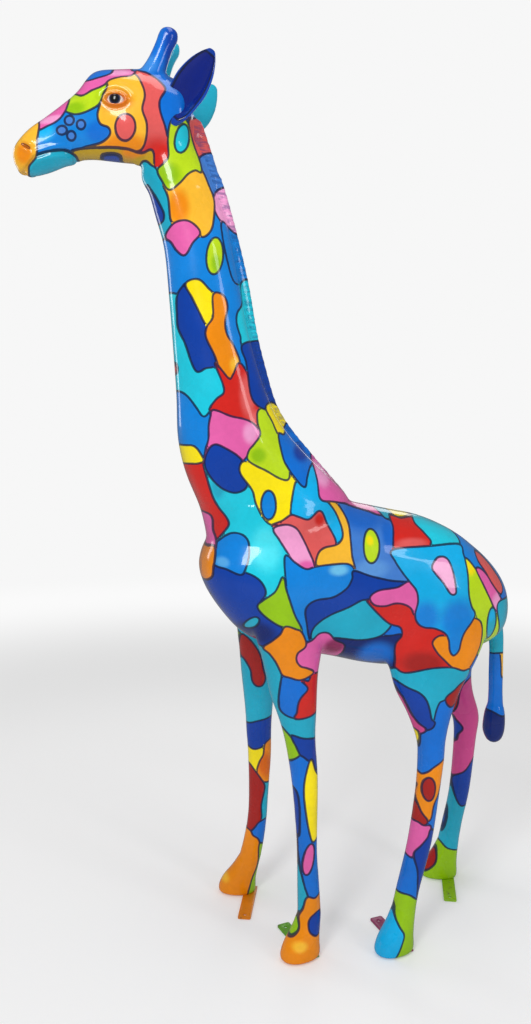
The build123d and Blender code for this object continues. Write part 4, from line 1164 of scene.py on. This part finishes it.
def model_mane(co, normals, mane):
    """Combed strands: ridges that lean back across the mane, with a little unevenness."""
    idx = np.flatnonzero(mane)
    along, depth = mane_frame(co[idx])
    lean = along + depth * STRAND_LEAN
    waves = np.sin(lean * 2 * math.pi / STRAND + 1.3 * np.sin(lean * 21.0))
    waves += 0.5 * np.sin(lean * 2 * math.pi / FINE_STRAND + 2.0)
    out = np.zeros(len(co))
    out[idx] = STRAND_HEIGHT * waves
    return co + normals * out[:, None]


# ---------------------------------------------------------------- cutting the skin into pieces
def skin_piece(name, faces_flat, totals, mine, co, normals, colours, thickness):
    """One closed shell from some faces of the skin: outside, inside and the rim between them."""
    starts = np.concatenate([[0], np.cumsum(totals)[:-1]])
    faces = [faces_flat[starts[f]:starts[f] + totals[f]] for f in mine]
    flat = np.concatenate(faces)
    used, new = np.unique(flat, return_inverse=True)
    n = len(used)
    verts = np.vstack([co[used], co[used] - normals[used] * thickness])
    outer, k = [], 0
    for f in faces:
        outer.append(tuple(int(i) for i in new[k:k + len(f)]))
        k += len(f)
    inner = [tuple(i + n for i in reversed(f)) for f in outer]
    ways = set()
    for f in outer:
        for i, a in enumerate(f):
            ways.add((a, f[(i + 1) % len(f)]))
    rim = [(b, a, a + n, b + n) for a, b in sorted(ways) if (b, a) not in ways]
    obj = mesh_object(name, verts, outer + inner + rim)
    mesh = obj.data
    corners = np.concatenate([np.arange(starts[f], starts[f] + totals[f]) for f in mine])
    loops = len(mesh.loops)
    raw = linear(RAW_FIBREGLASS)
    for attr, values in (("paint_a", colours[0]), ("paint_b", colours[1])):
        data = np.ones((loops, 4))
        data[:, :3] = raw
        data[:len(corners), :3] = values[corners]
        layer = mesh.attributes.new(attr, "FLOAT_COLOR", "CORNER")
        layer.data.foreach_set("color", data.ravel())
    data = np.full(loops, FAR)
    data[:len(corners)] = colours[2][corners]
    mesh.attributes.new("edge", "FLOAT", "CORNER").data.foreach_set("value", data)
    shade = np.zeros((loops, 3))
    shade[:len(corners)] = normals[flat]
    inner_ids = [i - n for f in inner for i in f]
    shade[len(corners):2 * len(corners)] = -normals[used[inner_ids]]
    first_rim = len(outer) + len(inner)
    at = 2 * len(corners)
    for face in mesh.polygons[first_rim:]:
        shade[at:at + 4] = face.normal
        at += 4
    mesh.shade_smooth()
    mesh.normals_split_custom_set([tuple(v) for v in shade])
    return obj


def untie(labels, faces_flat, totals, count):
    """Where a piece would touch itself at a single point, the point's faces all go to one piece."""
    face_of = np.repeat(np.arange(len(totals)), totals)
    starts = np.concatenate([[0], np.cumsum(totals)[:-1]])
    nxt = np.arange(len(faces_flat)) + 1
    nxt[starts + totals - 1] = starts
    a, b = faces_flat, faces_flat[nxt]
    for _ in range(12):
        changed = 0
        lab = labels[face_of]
        key = (np.minimum(a, b) * count + np.maximum(a, b)) * 64 + lab
        names, counts = np.unique(key, return_counts=True)
        open_edges = names[counts == 1]
        edge_key, kind = open_edges // 64, open_edges % 64
        ends = np.concatenate([edge_key // count, edge_key % count])
        kinds = np.concatenate([kind, kind])
        point_key, tally = np.unique(ends * 64 + kinds, return_counts=True)
        for bad in point_key[tally > 2]:
            v = bad // 64
            around = face_of[np.flatnonzero(faces_flat == v)]
            best = np.bincount(labels[around]).argmax()
            labels[around] = best
            changed += 1
        if not changed:
            break
    return labels


# ---------------------------------------------------------------- materials
# How many times finer the mane's streaks are along x, y and z.
STRAND_STRETCH = (1.0, 2.4, 13.0)


def new_material(name):
    """A new material with its node tree and its main shader."""
    mat = bpy.data.materials.new(name)
    mat.use_nodes = True
    tree = mat.node_tree
    shader = tree.nodes["Principled BSDF"]
    return mat, tree, shader


def node(tree, kind, **values):
    """A new node with some of its settings."""
    out = tree.nodes.new(kind)
    for key, value in values.items():
        setattr(out, key, value)
    return out


def noise(tree, coords, scale, detail=3.0, rough=0.5, stretch=None):
    """A cloudy pattern that is fixed to the piece, stretched where strands are wanted."""
    source = coords.outputs["Object"]
    if stretch:
        mapping = node(tree, "ShaderNodeMapping")
        mapping.inputs["Scale"].default_value = stretch
        mapping.inputs["Rotation"].default_value = (0.35, 0.0, 0.0)
        tree.links.new(source, mapping.inputs["Vector"])
        source = mapping.outputs["Vector"]
    tex = node(tree, "ShaderNodeTexNoise")
    tex.inputs["Scale"].default_value = scale
    tex.inputs["Detail"].default_value = detail
    tex.inputs["Roughness"].default_value = rough
    tree.links.new(source, tex.inputs["Vector"])
    return tex.outputs["Fac"]


def remap(tree, source, low, high, to_low, to_high):
    """Turns one range of a value softly into another; a limit may be a value or a socket."""
    out = node(tree, "ShaderNodeMapRange", interpolation_type="SMOOTHSTEP")
    for name, value in (("From Min", low), ("From Max", high), ("To Min", to_low), ("To Max", to_high)):
        if isinstance(value, bpy.types.NodeSocket):
            tree.links.new(value, out.inputs[name])
        else:
            out.inputs[name].default_value = value
    tree.links.new(source, out.inputs["Value"])
    return out.outputs["Result"]


def mix_colour(tree, factor, a, b, blend="MIX"):
    """Mixes two colours; the factor and each colour may be a value or a socket."""
    out = node(tree, "ShaderNodeMix", data_type="RGBA", blend_type=blend)
    for value, socket in ((factor, 0), (a, 6), (b, 7)):
        if isinstance(value, bpy.types.NodeSocket):
            tree.links.new(value, out.inputs[socket])
        elif socket == 0:
            out.inputs[socket].default_value = value
        else:
            out.inputs[socket].default_value = tuple(value) + (1.0,)
    return out.outputs[2]


def bump(tree, shader, heights):
    """Stacks bumps: each is (height socket, strength, distance)."""
    last = None
    for height, strength, distance in heights:
        out = node(tree, "ShaderNodeBump")
        out.inputs["Strength"].default_value = strength
        out.inputs["Distance"].default_value = distance
        tree.links.new(height, out.inputs["Height"])
        if last is not None:
            tree.links.new(last, out.inputs["Normal"])
        last = out.outputs["Normal"]
    tree.links.new(last, shader.inputs["Normal"])


def paint_material(name, props, streaks=0.0):
    """Gloss enamel over fibreglass: hand-painted patches with dark outlines under clear lacquer."""
    mat, tree, shader = new_material(name)
    coords = node(tree, "ShaderNodeTexCoord")
    a = node(tree, "ShaderNodeAttribute", attribute_name="paint_a")
    b = node(tree, "ShaderNodeAttribute", attribute_name="paint_b")
    edge = node(tree, "ShaderNodeAttribute", attribute_name="edge")
    side = remap(tree, edge.outputs["Fac"], -0.35, 0.35, 0.0, 1.0)
    base = mix_colour(tree, side, b.outputs["Color"], a.outputs["Color"])
    cloud = remap(tree, noise(tree, coords, 5.0, 4.0), 0.30, 0.70, 0.90, 1.06)
    brush = remap(tree, noise(tree, coords, 70.0, 5.0, 0.6), 0.30, 0.70, 0.97, 1.03)
    tone = node(tree, "ShaderNodeMath", operation="MULTIPLY")
    tree.links.new(cloud, tone.inputs[0])
    tree.links.new(brush, tone.inputs[1])
    grey = node(tree, "ShaderNodeCombineColor")
    for channel in ("Red", "Green", "Blue"):
        tree.links.new(tone.outputs[0], grey.inputs[channel])
    base = mix_colour(tree, 1.0, base, grey.outputs[0], "MULTIPLY")
    if streaks:
        hair = noise(tree, coords, 10.0, 4.0, 0.6, STRAND_STRETCH)
        dark = remap(tree, hair, 0.36, 0.60, streaks, 0.0)
        base = mix_colour(tree, dark, base, linear(MANE_SHADE))
    wobble = noise(tree, coords, 60.0, 2.0)
    reach = node(tree, "ShaderNodeMath", operation="ABSOLUTE")
    tree.links.new(edge.outputs["Fac"], reach.inputs[0])
    vary = node(tree, "ShaderNodeMath", operation="MULTIPLY_ADD")
    vary.inputs[1].default_value = 1.6
    tree.links.new(wobble, vary.inputs[0])
    tree.links.new(reach.outputs[0], vary.inputs[2])
    width = props.line_width / MM
    line = remap(tree, vary.outputs[0], width * 0.5 + 0.35, width * 0.5 + 2.1, 0.90, 0.0)
    base = mix_colour(tree, line, base, linear(np.array(props.outline_colour) * 255))
    tree.links.new(base, shader.inputs["Base Color"])
    sheen = noise(tree, coords, 12.0, 3.0)
    rough = remap(tree, sheen, 0.30, 0.70, props.roughness - 0.05, props.roughness + 0.07)
    tree.links.new(rough, shader.inputs["Roughness"])
    shader.inputs["Coat Weight"].default_value = props.lacquer
    shader.inputs["Coat Roughness"].default_value = 0.06
    shader.inputs["Specular IOR Level"].default_value = 0.2
    waves, grain = noise(tree, coords, 9.0, 2.0), noise(tree, coords, 320.0, 2.0)
    heights = [(waves, 0.10, 0.006), (grain, 0.05, 0.0006), (line, 0.12, 0.0004)]
    if streaks:
        heights.append((noise(tree, coords, 14.0, 4.0, 0.6, STRAND_STRETCH), 0.5, 0.003))
    bump(tree, shader, heights)
    return mat


def coat_material(name, colour, worn, rough, metallic=0.0):
    """One painted or bare metal: a colour with worn or stained places and a fine uneven surface."""
    mat, tree, shader = new_material(name)
    coords = node(tree, "ShaderNodeTexCoord")
    stain = remap(tree, noise(tree, coords, 60.0, 6.0, 0.65), 0.56, 0.70, 0.0, 0.85)
    broad = remap(tree, noise(tree, coords, 14.0, 3.0), 0.30, 0.70, 0.0, 0.22)
    base = mix_colour(tree, broad, linear(colour), linear(colour) * 0.55)
    base = mix_colour(tree, stain, base, linear(worn))
    tree.links.new(base, shader.inputs["Base Color"])
    level = remap(tree, noise(tree, coords, 30.0, 4.0), 0.30, 0.70, rough - 0.08, rough + 0.16)
    tree.links.new(level, shader.inputs["Roughness"])
    shader.inputs["Metallic"].default_value = metallic
    dents, grain = noise(tree, coords, 45.0, 4.0), noise(tree, coords, 500.0, 2.0)
    bump(tree, shader, [(dents, 0.18, 0.0012), (grain, 0.12, 0.0003)])
    return mat


def dress(obj, mat):
    """Gives a piece one material in place of any that it has."""
    obj.data.materials.clear()
    obj.data.materials.append(mat)


def point_paint(obj, colour_a, colour_b, edges):
    """Gives each point of a small piece its two colours and its distance from the line between."""
    mesh = obj.data
    n = len(mesh.vertices)
    for attr, colour in (("paint_a", colour_a), ("paint_b", colour_b)):
        data = np.ones((n, 4))
        data[:, :3] = linear(colour)
        mesh.attributes.new(attr, "FLOAT_COLOR", "POINT").data.foreach_set("color", data.ravel())
    mesh.attributes.new("edge", "FLOAT", "POINT").data.foreach_set("value", np.asarray(edges, float))


# ---------------------------------------------------------------- settings
class GiraffePaintSettings(bpy.types.PropertyGroup):
    """The enamel, its outlines and the lacquer"""

    line_width: bpy.props.FloatProperty(
        name="Outline width", description="Width of the dark line between two patches",
        default=0.0052, min=0.001, max=0.02, unit="LENGTH")
    outline_colour: bpy.props.FloatVectorProperty(
        name="Outline colour", description="Colour of the painted outlines",
        default=tuple(c / 255 for c in OUTLINE), subtype="COLOR", size=3, min=0.0, max=1.0)
    roughness: bpy.props.FloatProperty(
        name="Paint roughness", description="How matt the enamel under the lacquer is",
        default=0.24, min=0.06, max=0.9, subtype="FACTOR")
    lacquer: bpy.props.FloatProperty(
        name="Lacquer", description="Strength of the clear top coat",
        default=0.9, min=0.0, max=1.0, subtype="FACTOR")


class GiraffeBodySettings(bpy.types.PropertyGroup):
    """The skin's mesh and the eyes"""

    voxel: bpy.props.FloatProperty(
        name="Skin fineness", description="Edge length of the joined skin's mesh",
        default=0.005, min=0.003, max=0.02, unit="LENGTH")
    thickness: bpy.props.FloatProperty(
        name="Skin thickness", description="Thickness of the fibreglass shell",
        default=0.005, min=0.002, max=0.01, unit="LENGTH")
    eye_radius: bpy.props.FloatProperty(
        name="Eye radius", description="Radius of each eyeball",
        default=EYE_RADIUS * MM, min=0.01, max=0.04, unit="LENGTH")
    pupil_radius: bpy.props.FloatProperty(
        name="Pupil radius", description="Radius of the painted pupil",
        default=0.0132, min=0.004, max=0.02, unit="LENGTH")


class GiraffeStageSettings(bpy.types.PropertyGroup):
    """The floor, the background and the lights"""

    floor_size: bpy.props.FloatProperty(
        name="Floor size", description="Side of the square floor", default=60.0, min=4.0, unit="LENGTH")
    floor_colour: bpy.props.FloatVectorProperty(
        name="Floor colour", description="Colour of the plain floor",
        default=(0.80, 0.80, 0.80), subtype="COLOR", size=3, min=0.0, max=1.0)
    floor_glow: bpy.props.FloatProperty(
        name="Floor glow", description="Evens out the floor's brightness", default=0.20, min=0.0)
    backdrop_level: bpy.props.FloatProperty(
        name="Backdrop level", description="Brightness of the plain background", default=0.93, min=0.0)
    fade_start: bpy.props.FloatProperty(
        name="Fade start", description="Where the floor starts to turn into the background",
        default=1.6, min=0.0, unit="LENGTH")
    fade_end: bpy.props.FloatProperty(
        name="Fade end", description="Where the floor is as bright as the background",
        default=6.0, min=0.1, unit="LENGTH")
    floor_reflected: bpy.props.FloatProperty(
        name="Floor in reflections", description="How bright the floor looks in the lacquer",
        default=0.30, min=0.0, max=1.0)
    reflected_level: bpy.props.FloatProperty(
        name="World in reflections", description="How bright the surround looks in the lacquer",
        default=0.14, min=0.0)
    key_power: bpy.props.FloatProperty(
        name="Key light", description="Power of the large soft key light",
        default=88.0, min=0.0, unit="POWER")
    fill_power: bpy.props.FloatProperty(
        name="Fill light", description="Power of the soft fill lights", default=26.0, min=0.0, unit="POWER")
    world_level: bpy.props.FloatProperty(
        name="World level", description="Brightness of the even surround light", default=0.48, min=0.0)


# ---------------------------------------------------------------- operators
def write_mesh(mesh, co):
    """Moves the mesh's points."""
    mesh.vertices.foreach_set("co", co.ravel())
    mesh.update()


def pick(obj):
    """Makes one piece the only selected one and the active one."""
    deselect()
    bpy.context.view_layer.objects.active = obj
    obj.select_set(True)


def joined_skin(voxel):
    """Lofts every part of the skin and joins the parts into one even mesh."""
    verts, faces = skin_lofts()
    whole = mesh_object("whole_skin", verts, faces)
    pick(whole)
    remesh = whole.modifiers.new("join", "REMESH")
    remesh.mode = "VOXEL"
    remesh.voxel_size = voxel
    remesh.adaptivity = 0.0
    bpy.ops.object.modifier_apply(modifier="join")
    return whole


def soften_joins(mesh):
    """Smooths the whole mesh a little, and far more where legs, neck, head and tail meet the body."""
    co, edges = read_mesh(mesh)
    y, z = co[:, 1], co[:, 2]
    legs = step(z, 0.74, 0.84) * (1 - step(z, 1.00, 1.14))
    neck = step(z, 1.10, 1.18) * (1 - step(z, 1.36, 1.46)) * (y < 0.26)
    head = step(z, 2.16, 2.22) * (1 - step(z, 2.34, 2.40)) * (y > -0.36) * (y < -0.16)
    tail = (y > 0.56) * step(z, 0.86, 0.92)
    co = smooth(co, edges, np.full(len(co), 0.5), 5)
    co = smooth(co, edges, np.maximum.reduce([legs, neck, head, tail]) * 0.5, 36)
    write_mesh(mesh, co)


def label_skin(whole, fine):
    """Gives every face its piece, and cuts the faces of the fine pieces in four."""
    mesh = whole.data
    labels = label_faces(mesh)
    pairs = face_pairs(mesh)
    labels = largest_parts(tidy_labels(labels, pairs), pairs)
    mesh.attributes.new("piece", "INT", "FACE").data.foreach_set("value", labels)
    pick(whole)
    bpy.ops.object.mode_set(mode="EDIT")
    bpy.ops.mesh.select_all(action="DESELECT")
    bpy.ops.object.mode_set(mode="OBJECT")
    mesh.polygons.foreach_set("select", np.isin(labels, fine))
    bpy.ops.object.mode_set(mode="EDIT")
    bpy.ops.mesh.select_mode(type="FACE")
    bpy.ops.mesh.subdivide(number_cuts=1)
    bpy.ops.object.mode_set(mode="OBJECT")
    labels = np.empty(len(whole.data.polygons), int)
    whole.data.attributes["piece"].data.foreach_get("value", labels)
    return labels


class GIRAFFE_OT_skin(bpy.types.Operator):
    """Builds the whole painted skin, models its surface, and cuts it into its named pieces"""

    bl_idname = "giraffe.skin"
    bl_label = "Painted skin"
    bl_options = {"REGISTER", "UNDO"}

    def execute(self, context):
        scene = context.scene
        body = scene.giraffe_body
        whole = joined_skin(body.voxel)
        soften_joins(whole.data)
        fine = [OUTER_NODES.index(n) for n in FINE_NODES]
        labels = label_skin(whole, fine)
        mesh = whole.data
        co, edges = read_mesh(mesh)
        totals = np.empty(len(mesh.polygons), int)
        mesh.polygons.foreach_get("loop_total", totals)
        flat = np.empty(len(mesh.loops), int)
        mesh.loops.foreach_get("vertex_index", flat)
        face_of = np.repeat(np.arange(len(totals)), totals)
        kinds = labels[face_of]
        in_head = np.zeros(len(co), bool)
        in_head[flat[np.isin(kinds, fine)]] = True
        co = smooth(co, edges, in_head * 0.5, 3)
        write_mesh(mesh, co)
        co = model_body(co, vertex_normals(mesh))
        co = model_head(co, vertex_normals(mesh))
        in_mane = np.zeros(len(co), bool)
        in_mane[flat[kinds == OUTER_NODES.index("mane_ridge")]] = True
        co = model_mane(co, vertex_normals(mesh), in_mane)
        co[:, 2] = np.maximum(co[:, 2], 0.0)
        write_mesh(mesh, co)
        normals = vertex_normals(mesh)
        labels = untie(labels, flat, totals, len(co))
        points, left, sideways, rows, dist = paint_skin(co)
        colours = corner_paint(flat, totals, points, left, sideways, rows, dist)
        paint = scene.giraffe_paint
        mats = {
            "plain": paint_material("painted_skin", paint),
            "mane": paint_material("painted_mane", paint, 0.55),
        }
        for number, name in enumerate(OUTER_NODES):
            mine = np.flatnonzero(labels == number)
            if len(mine) == 0:
                raise RuntimeError(f"no skin was found for {name}")
            obj = skin_piece(f"painted_{name}", flat, totals, mine, co, normals, colours, body.thickness)
            dress(obj, mats["mane"] if name == "mane_ridge" else mats["plain"])
            place(obj, NODE_SLOT[name.split("_")[0]], name)
        bpy.data.objects.remove(whole, do_unlink=True)
        return {"FINISHED"}


def ear_points(side):
    """The ear's grid: convex back sheet and cupped front sheet that meet at a rounded rim."""
    base, tip = np.array(EAR_BASE) * MM, np.array(EAR_TIP) * MM
    facing = np.array(EAR_FACING) / np.linalg.norm(EAR_FACING)
    ahead = tip - base
    length = np.linalg.norm(ahead)
    ahead /= length
    facing -= ahead * facing.dot(ahead)
    facing /= np.linalg.norm(facing)
    across = np.cross(ahead, facing)
    rows = catmull(EAR_SHAPE, 4)
    steps, verts, edge = 12, [], []
    ring = []
    for t in np.linspace(-1, 1, steps + 1):
        ring.append((t, "front"))
    for t in np.linspace(1, -1, steps + 1)[1:-1]:
        ring.append((t, "back"))
    for f, half, deep in rows:
        f, half, deep = min(f, 1.0), half * MM, deep * MM
        centre = base + ahead * length * f
        cup = step(np.array([f]), 0.06, 0.26)[0] * (1 - 0.25 * f)
        for t, which in ring:
            bow = math.sqrt(max(1 - t * t, 0.0))
            lift = deep * 0.42 - deep * 1.25 * cup * (1 - t * t) if which == "front" else -deep * 0.95 * bow
            if which == "front" and abs(t) == 1:
                lift = 0.0
            p = centre + across * half * t + facing * lift
            p[0] *= side
            verts.append(turned(p))
            inner = (0.80 - abs(t)) * half if which == "front" else -0.02
            edge.append(min(inner, (f - 0.10) * length, (0.93 - f) * length + 0.002) / MM)
    return np.array(verts), edge, len(ring), len(rows)


class GIRAFFE_OT_ears(bpy.types.Operator):
    """Builds the two cupped ears"""

    bl_idname = "giraffe.ears"
    bl_label = "Ears"
    bl_options = {"REGISTER", "UNDO"}

    def execute(self, context):
        paint = context.scene.giraffe_paint
        mat = paint_material("painted_ear", paint)
        for name, side in SIDES:
            verts, edge, around, rings = ear_points(side)
            obj = mesh_object(f"painted_ear_{name}", verts, tube_faces(around, rings))
            inner, outer = EAR_COLOURS[name]
            point_paint(obj, inner, outer, edge)
            pick(obj)
            bpy.ops.object.mode_set(mode="EDIT")
            bpy.ops.mesh.select_all(action="SELECT")
            bpy.ops.mesh.normals_make_consistent(inside=False)
            bpy.ops.object.mode_set(mode="OBJECT")
            rounder = obj.modifiers.new("round", "SUBSURF")
            rounder.levels = 2
            rounder.render_levels = 2
            bpy.ops.object.modifier_apply(modifier="round")
            bpy.ops.object.shade_smooth()
            dress(obj, mat)
            place(obj, "ear", f"ear_{name}")
        return {"FINISHED"}


# The eyes look out to the side, and a little ahead and up.
EYE_AIM = (1.0, -0.10, 0.06)


class GIRAFFE_OT_eyes(bpy.types.Operator):
    """Builds the two eyeballs with their painted pupils"""

    bl_idname = "giraffe.eyes"
    bl_label = "Eyes"
    bl_options = {"REGISTER", "UNDO"}

    def execute(self, context):
        body = context.scene.giraffe_body
        mat = paint_material("painted_eye", context.scene.giraffe_paint)
        mat.node_tree.nodes["Principled BSDF"].inputs["Coat Roughness"].default_value = 0.02
        pivot = np.array([0.0, HEAD_PIVOT_Y, 0.0])
        for name, side in SIDES:
            deselect()
            centre = turned(np.array([EYE_CENTRE[0] * side, EYE_CENTRE[1], EYE_CENTRE[2]]) * MM)
            bpy.ops.mesh.primitive_uv_sphere_add(segments=48, ring_count=32, radius=body.eye_radius,
                                                 location=tuple(centre))
            obj = context.active_object
            obj.name = f"painted_eye_{name}"
            bpy.ops.object.transform_apply(location=True, rotation=True, scale=True)
            gaze = turned(pivot + np.array(EYE_AIM) * (side, 1, 1)) - turned(pivot)
            gaze /= np.linalg.norm(gaze)
            co, _ = read_mesh(obj.data)
            rel = (co - centre) / body.eye_radius
            angle = np.arccos(np.clip(rel.dot(gaze), -1, 1))
            edge = (body.pupil_radius - angle * body.eye_radius) / MM
            point_paint(obj, PUPIL, EYE_WHITE, edge)
            bpy.ops.object.shade_smooth()
            dress(obj, mat)
            place(obj, "eye", f"eye_{name}")
        return {"FINISHED"}


def painted_tab(leg):
    """A copy of the tab with softened edges, in the shared frame."""
    source = frame["nodes"][f"tab_{leg}"]
    obj = source.copy()
    obj.data = source.data.copy()
    obj.name = f"painted_tab_{leg}"
    for key in list(obj.keys()):
        if key.startswith("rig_"):
            del obj[key]
    bpy.context.scene.collection.objects.link(obj)
    world = source.matrix_world.copy()
    obj.parent = None
    obj.data.transform(world)
    obj.matrix_world.identity()
    pick(obj)
    bpy.ops.object.mode_set(mode="EDIT")
    bpy.ops.mesh.select_all(action="SELECT")
    bpy.ops.mesh.remove_doubles(threshold=0.00005)
    bpy.ops.mesh.normals_make_consistent(inside=False)
    bpy.ops.object.mode_set(mode="OBJECT")
    soften = obj.modifiers.new("soften", "BEVEL")
    soften.width = 0.0008
    soften.segments = 2
    soften.limit_method = "ANGLE"
    soften.angle_limit = math.radians(40)
    bpy.ops.object.modifier_apply(modifier="soften")
    bpy.ops.object.shade_smooth_by_angle(angle=math.radians(40))
    return obj


class GIRAFFE_OT_fittings(bpy.types.Operator):
    """Paints the four bolt-down tabs and finishes the steel frame inside"""

    bl_idname = "giraffe.fittings"
    bl_label = "Tabs and frame"
    bl_options = {"REGISTER", "UNDO"}

    def execute(self, context):
        for leg, colour in TAB_COLOURS.items():
            mat = coat_material(f"tab_paint_{leg}", colour, TAB_CHIPS, 0.34)
            mat.node_tree.nodes["Principled BSDF"].inputs["Coat Weight"].default_value = 0.5
            obj = painted_tab(leg)
            dress(obj, mat)
            place(obj, "tab", f"tab_{leg}")
        steel = coat_material("frame_steel", FRAME_STEEL, FRAME_RUST, 0.42, 0.9)
        for name, obj in frame["nodes"].items():
            if name.startswith("post") or name.endswith("_bar"):
                dress(obj, steel)
        return {"FINISHED"}


# Lights: name, place and size in metres, and the setting and the share of it that give the power.
LIGHTS = [
    ("key_light", (3.6, -2.2, 4.2), (1.1, 2.4), "key_power", 1.0),
    ("fill_light", (3.6, 3.0, 2.6), (0.8, 2.6), "fill_power", 1.0),
    ("back_light", (-3.8, 1.6, 3.2), (1.2, 2.6), "fill_power", 0.45),
    ("side_light", (-3.2, -3.0, 2.6), (0.9, 2.6), "fill_power", 0.6),
    ("top_light", (0.6, 0.2, 4.8), (1.2, 2.6), "fill_power", 1.0),
]
LIGHT_AIM = (0.0, 0.0, 1.3)
CAMERA_PLACE = (2.5495, -0.4857, 1.560)
CAMERA_TURN = (math.radians(83.5), 0.0, math.radians(80.0))
CAMERA_LENS = 31.64
FILM_WIDTH = 36.0


def soft_light(name, location, size, power):
    """A rectangle of light that faces the statue."""
    light = bpy.data.lights.new(name, "AREA")
    light.shape = "RECTANGLE"
    light.size, light.size_y = size
    light.energy = power
    obj = bpy.data.objects.new(name, light)
    bpy.context.scene.collection.objects.link(obj)
    obj.location = location
    obj.rotation_euler = (Vector(LIGHT_AIM) - Vector(location)).to_track_quat("-Z", "Y").to_euler()
    return obj


def floor_material(settings):
    """A pale floor that fades into the backdrop, and is dimmer where the lacquer mirrors it."""
    mat, tree, shader = new_material("studio_floor")
    coords = node(tree, "ShaderNodeTexCoord")
    reach = node(tree, "ShaderNodeVectorMath", operation="LENGTH")
    tree.links.new(coords.outputs["Object"], reach.inputs[0])
    far = remap(tree, reach.outputs["Value"], settings.fade_start, settings.fade_end, 0.0, 1.0)
    ray = node(tree, "ShaderNodeLightPath")
    base = mix_colour(tree, far, settings.floor_colour, (0.0, 0.0, 0.0))
    base = mix_colour(tree, ray.outputs["Is Glossy Ray"], base, (settings.floor_reflected,) * 3)
    tree.links.new(base, shader.inputs["Base Color"])
    glow = remap(tree, far, 0.0, 1.0, settings.floor_glow, settings.backdrop_level)
    glow = remap(tree, ray.outputs["Is Glossy Ray"], 0.0, 1.0, glow, 0.0)
    tree.links.new(glow, shader.inputs["Emission Strength"])
    shader.inputs["Emission Color"].default_value = (1.0, 1.0, 1.0, 1.0)
    shader.inputs["Roughness"].default_value = 0.85
    shader.inputs["Specular IOR Level"].default_value = 0.0
    return mat


def studio_world(settings):
    """An even surround with one level for light, one for reflections and one for the backdrop."""
    world = bpy.data.worlds.new("studio")
    world.use_nodes = True
    tree = world.node_tree
    level = tree.nodes["Background"]
    level.inputs["Color"].default_value = (1.0, 1.0, 1.0, 1.0)
    path = node(tree, "ShaderNodeLightPath")
    mirrored = node(tree, "ShaderNodeMapRange")
    mirrored.inputs["To Min"].default_value = settings.world_level
    mirrored.inputs["To Max"].default_value = settings.reflected_level
    tree.links.new(path.outputs["Is Glossy Ray"], mirrored.inputs["Value"])
    seen = node(tree, "ShaderNodeMapRange")
    tree.links.new(mirrored.outputs["Result"], seen.inputs["To Min"])
    seen.inputs["To Max"].default_value = settings.backdrop_level
    tree.links.new(path.outputs["Is Camera Ray"], seen.inputs["Value"])
    tree.links.new(seen.outputs["Result"], level.inputs["Strength"])
    return world


def studio_camera():
    """The camera that shows the whole statue from its left front."""
    data = bpy.data.cameras.new("studio_camera")
    data.lens = CAMERA_LENS
    data.sensor_width = FILM_WIDTH
    camera = bpy.data.objects.new("studio_camera", data)
    bpy.context.scene.collection.objects.link(camera)
    camera.location = CAMERA_PLACE
    camera.rotation_euler = CAMERA_TURN
    return camera


class GIRAFFE_OT_stage(bpy.types.Operator):
    """Builds the pale floor, the soft studio light and the camera"""

    bl_idname = "giraffe.stage"
    bl_label = "Stage"
    bl_options = {"REGISTER", "UNDO"}

    def execute(self, context):
        scene = context.scene
        settings = scene.giraffe_stage
        deselect()
        bpy.ops.mesh.primitive_plane_add(size=settings.floor_size, location=(0, 0, -0.0005))
        floor = context.active_object
        floor.name = "studio_floor"
        dress(floor, floor_material(settings))
        for name, location, size, source, share in LIGHTS:
            soft_light(name, location, size, getattr(settings, source) * share)
        scene.world = studio_world(settings)
        scene.camera = studio_camera()
        scene.view_settings.view_transform = "Standard"
        return {"FINISHED"}


class GIRAFFE_PT_panel(bpy.types.Panel):
    """Lists the statue's settings and its pieces"""

    bl_label = "Giraffe statue"
    bl_idname = "GIRAFFE_PT_panel"
    bl_space_type = "VIEW_3D"
    bl_region_type = "UI"
    bl_category = "Giraffe"

    def draw(self, context):
        layout = self.layout
        for group in (context.scene.giraffe_body, context.scene.giraffe_paint, context.scene.giraffe_stage):
            box = layout.box()
            for name in group.__annotations__:
                box.prop(group, name)
        for operator in OPERATORS:
            layout.operator(operator.bl_idname)


GROUPS = {
    "giraffe_body": GiraffeBodySettings,
    "giraffe_paint": GiraffePaintSettings,
    "giraffe_stage": GiraffeStageSettings,
}
OPERATORS = [GIRAFFE_OT_skin, GIRAFFE_OT_ears, GIRAFFE_OT_eyes, GIRAFFE_OT_fittings, GIRAFFE_OT_stage]


def register():
    """Adds the statue's settings, operators and panel to Blender."""
    for name, group in GROUPS.items():
        bpy.utils.register_class(group)
        setattr(bpy.types.Scene, name, bpy.props.PointerProperty(type=group))
    for item in OPERATORS + [GIRAFFE_PT_panel]:
        bpy.utils.register_class(item)


def unregister():
    """Takes the statue's settings, operators and panel out of Blender again."""
    for item in reversed(OPERATORS + [GIRAFFE_PT_panel]):
        bpy.utils.unregister_class(item)
    for name, group in reversed(list(GROUPS.items())):
        delattr(bpy.types.Scene, name)
        bpy.utils.unregister_class(group)


def main():
    """Builds the statue and its stage."""
    register()
    bpy.ops.giraffe.skin()
    bpy.ops.giraffe.ears()
    bpy.ops.giraffe.eyes()
    bpy.ops.giraffe.fittings()
    bpy.ops.giraffe.stage()


if __name__ == "__main__":
    main()
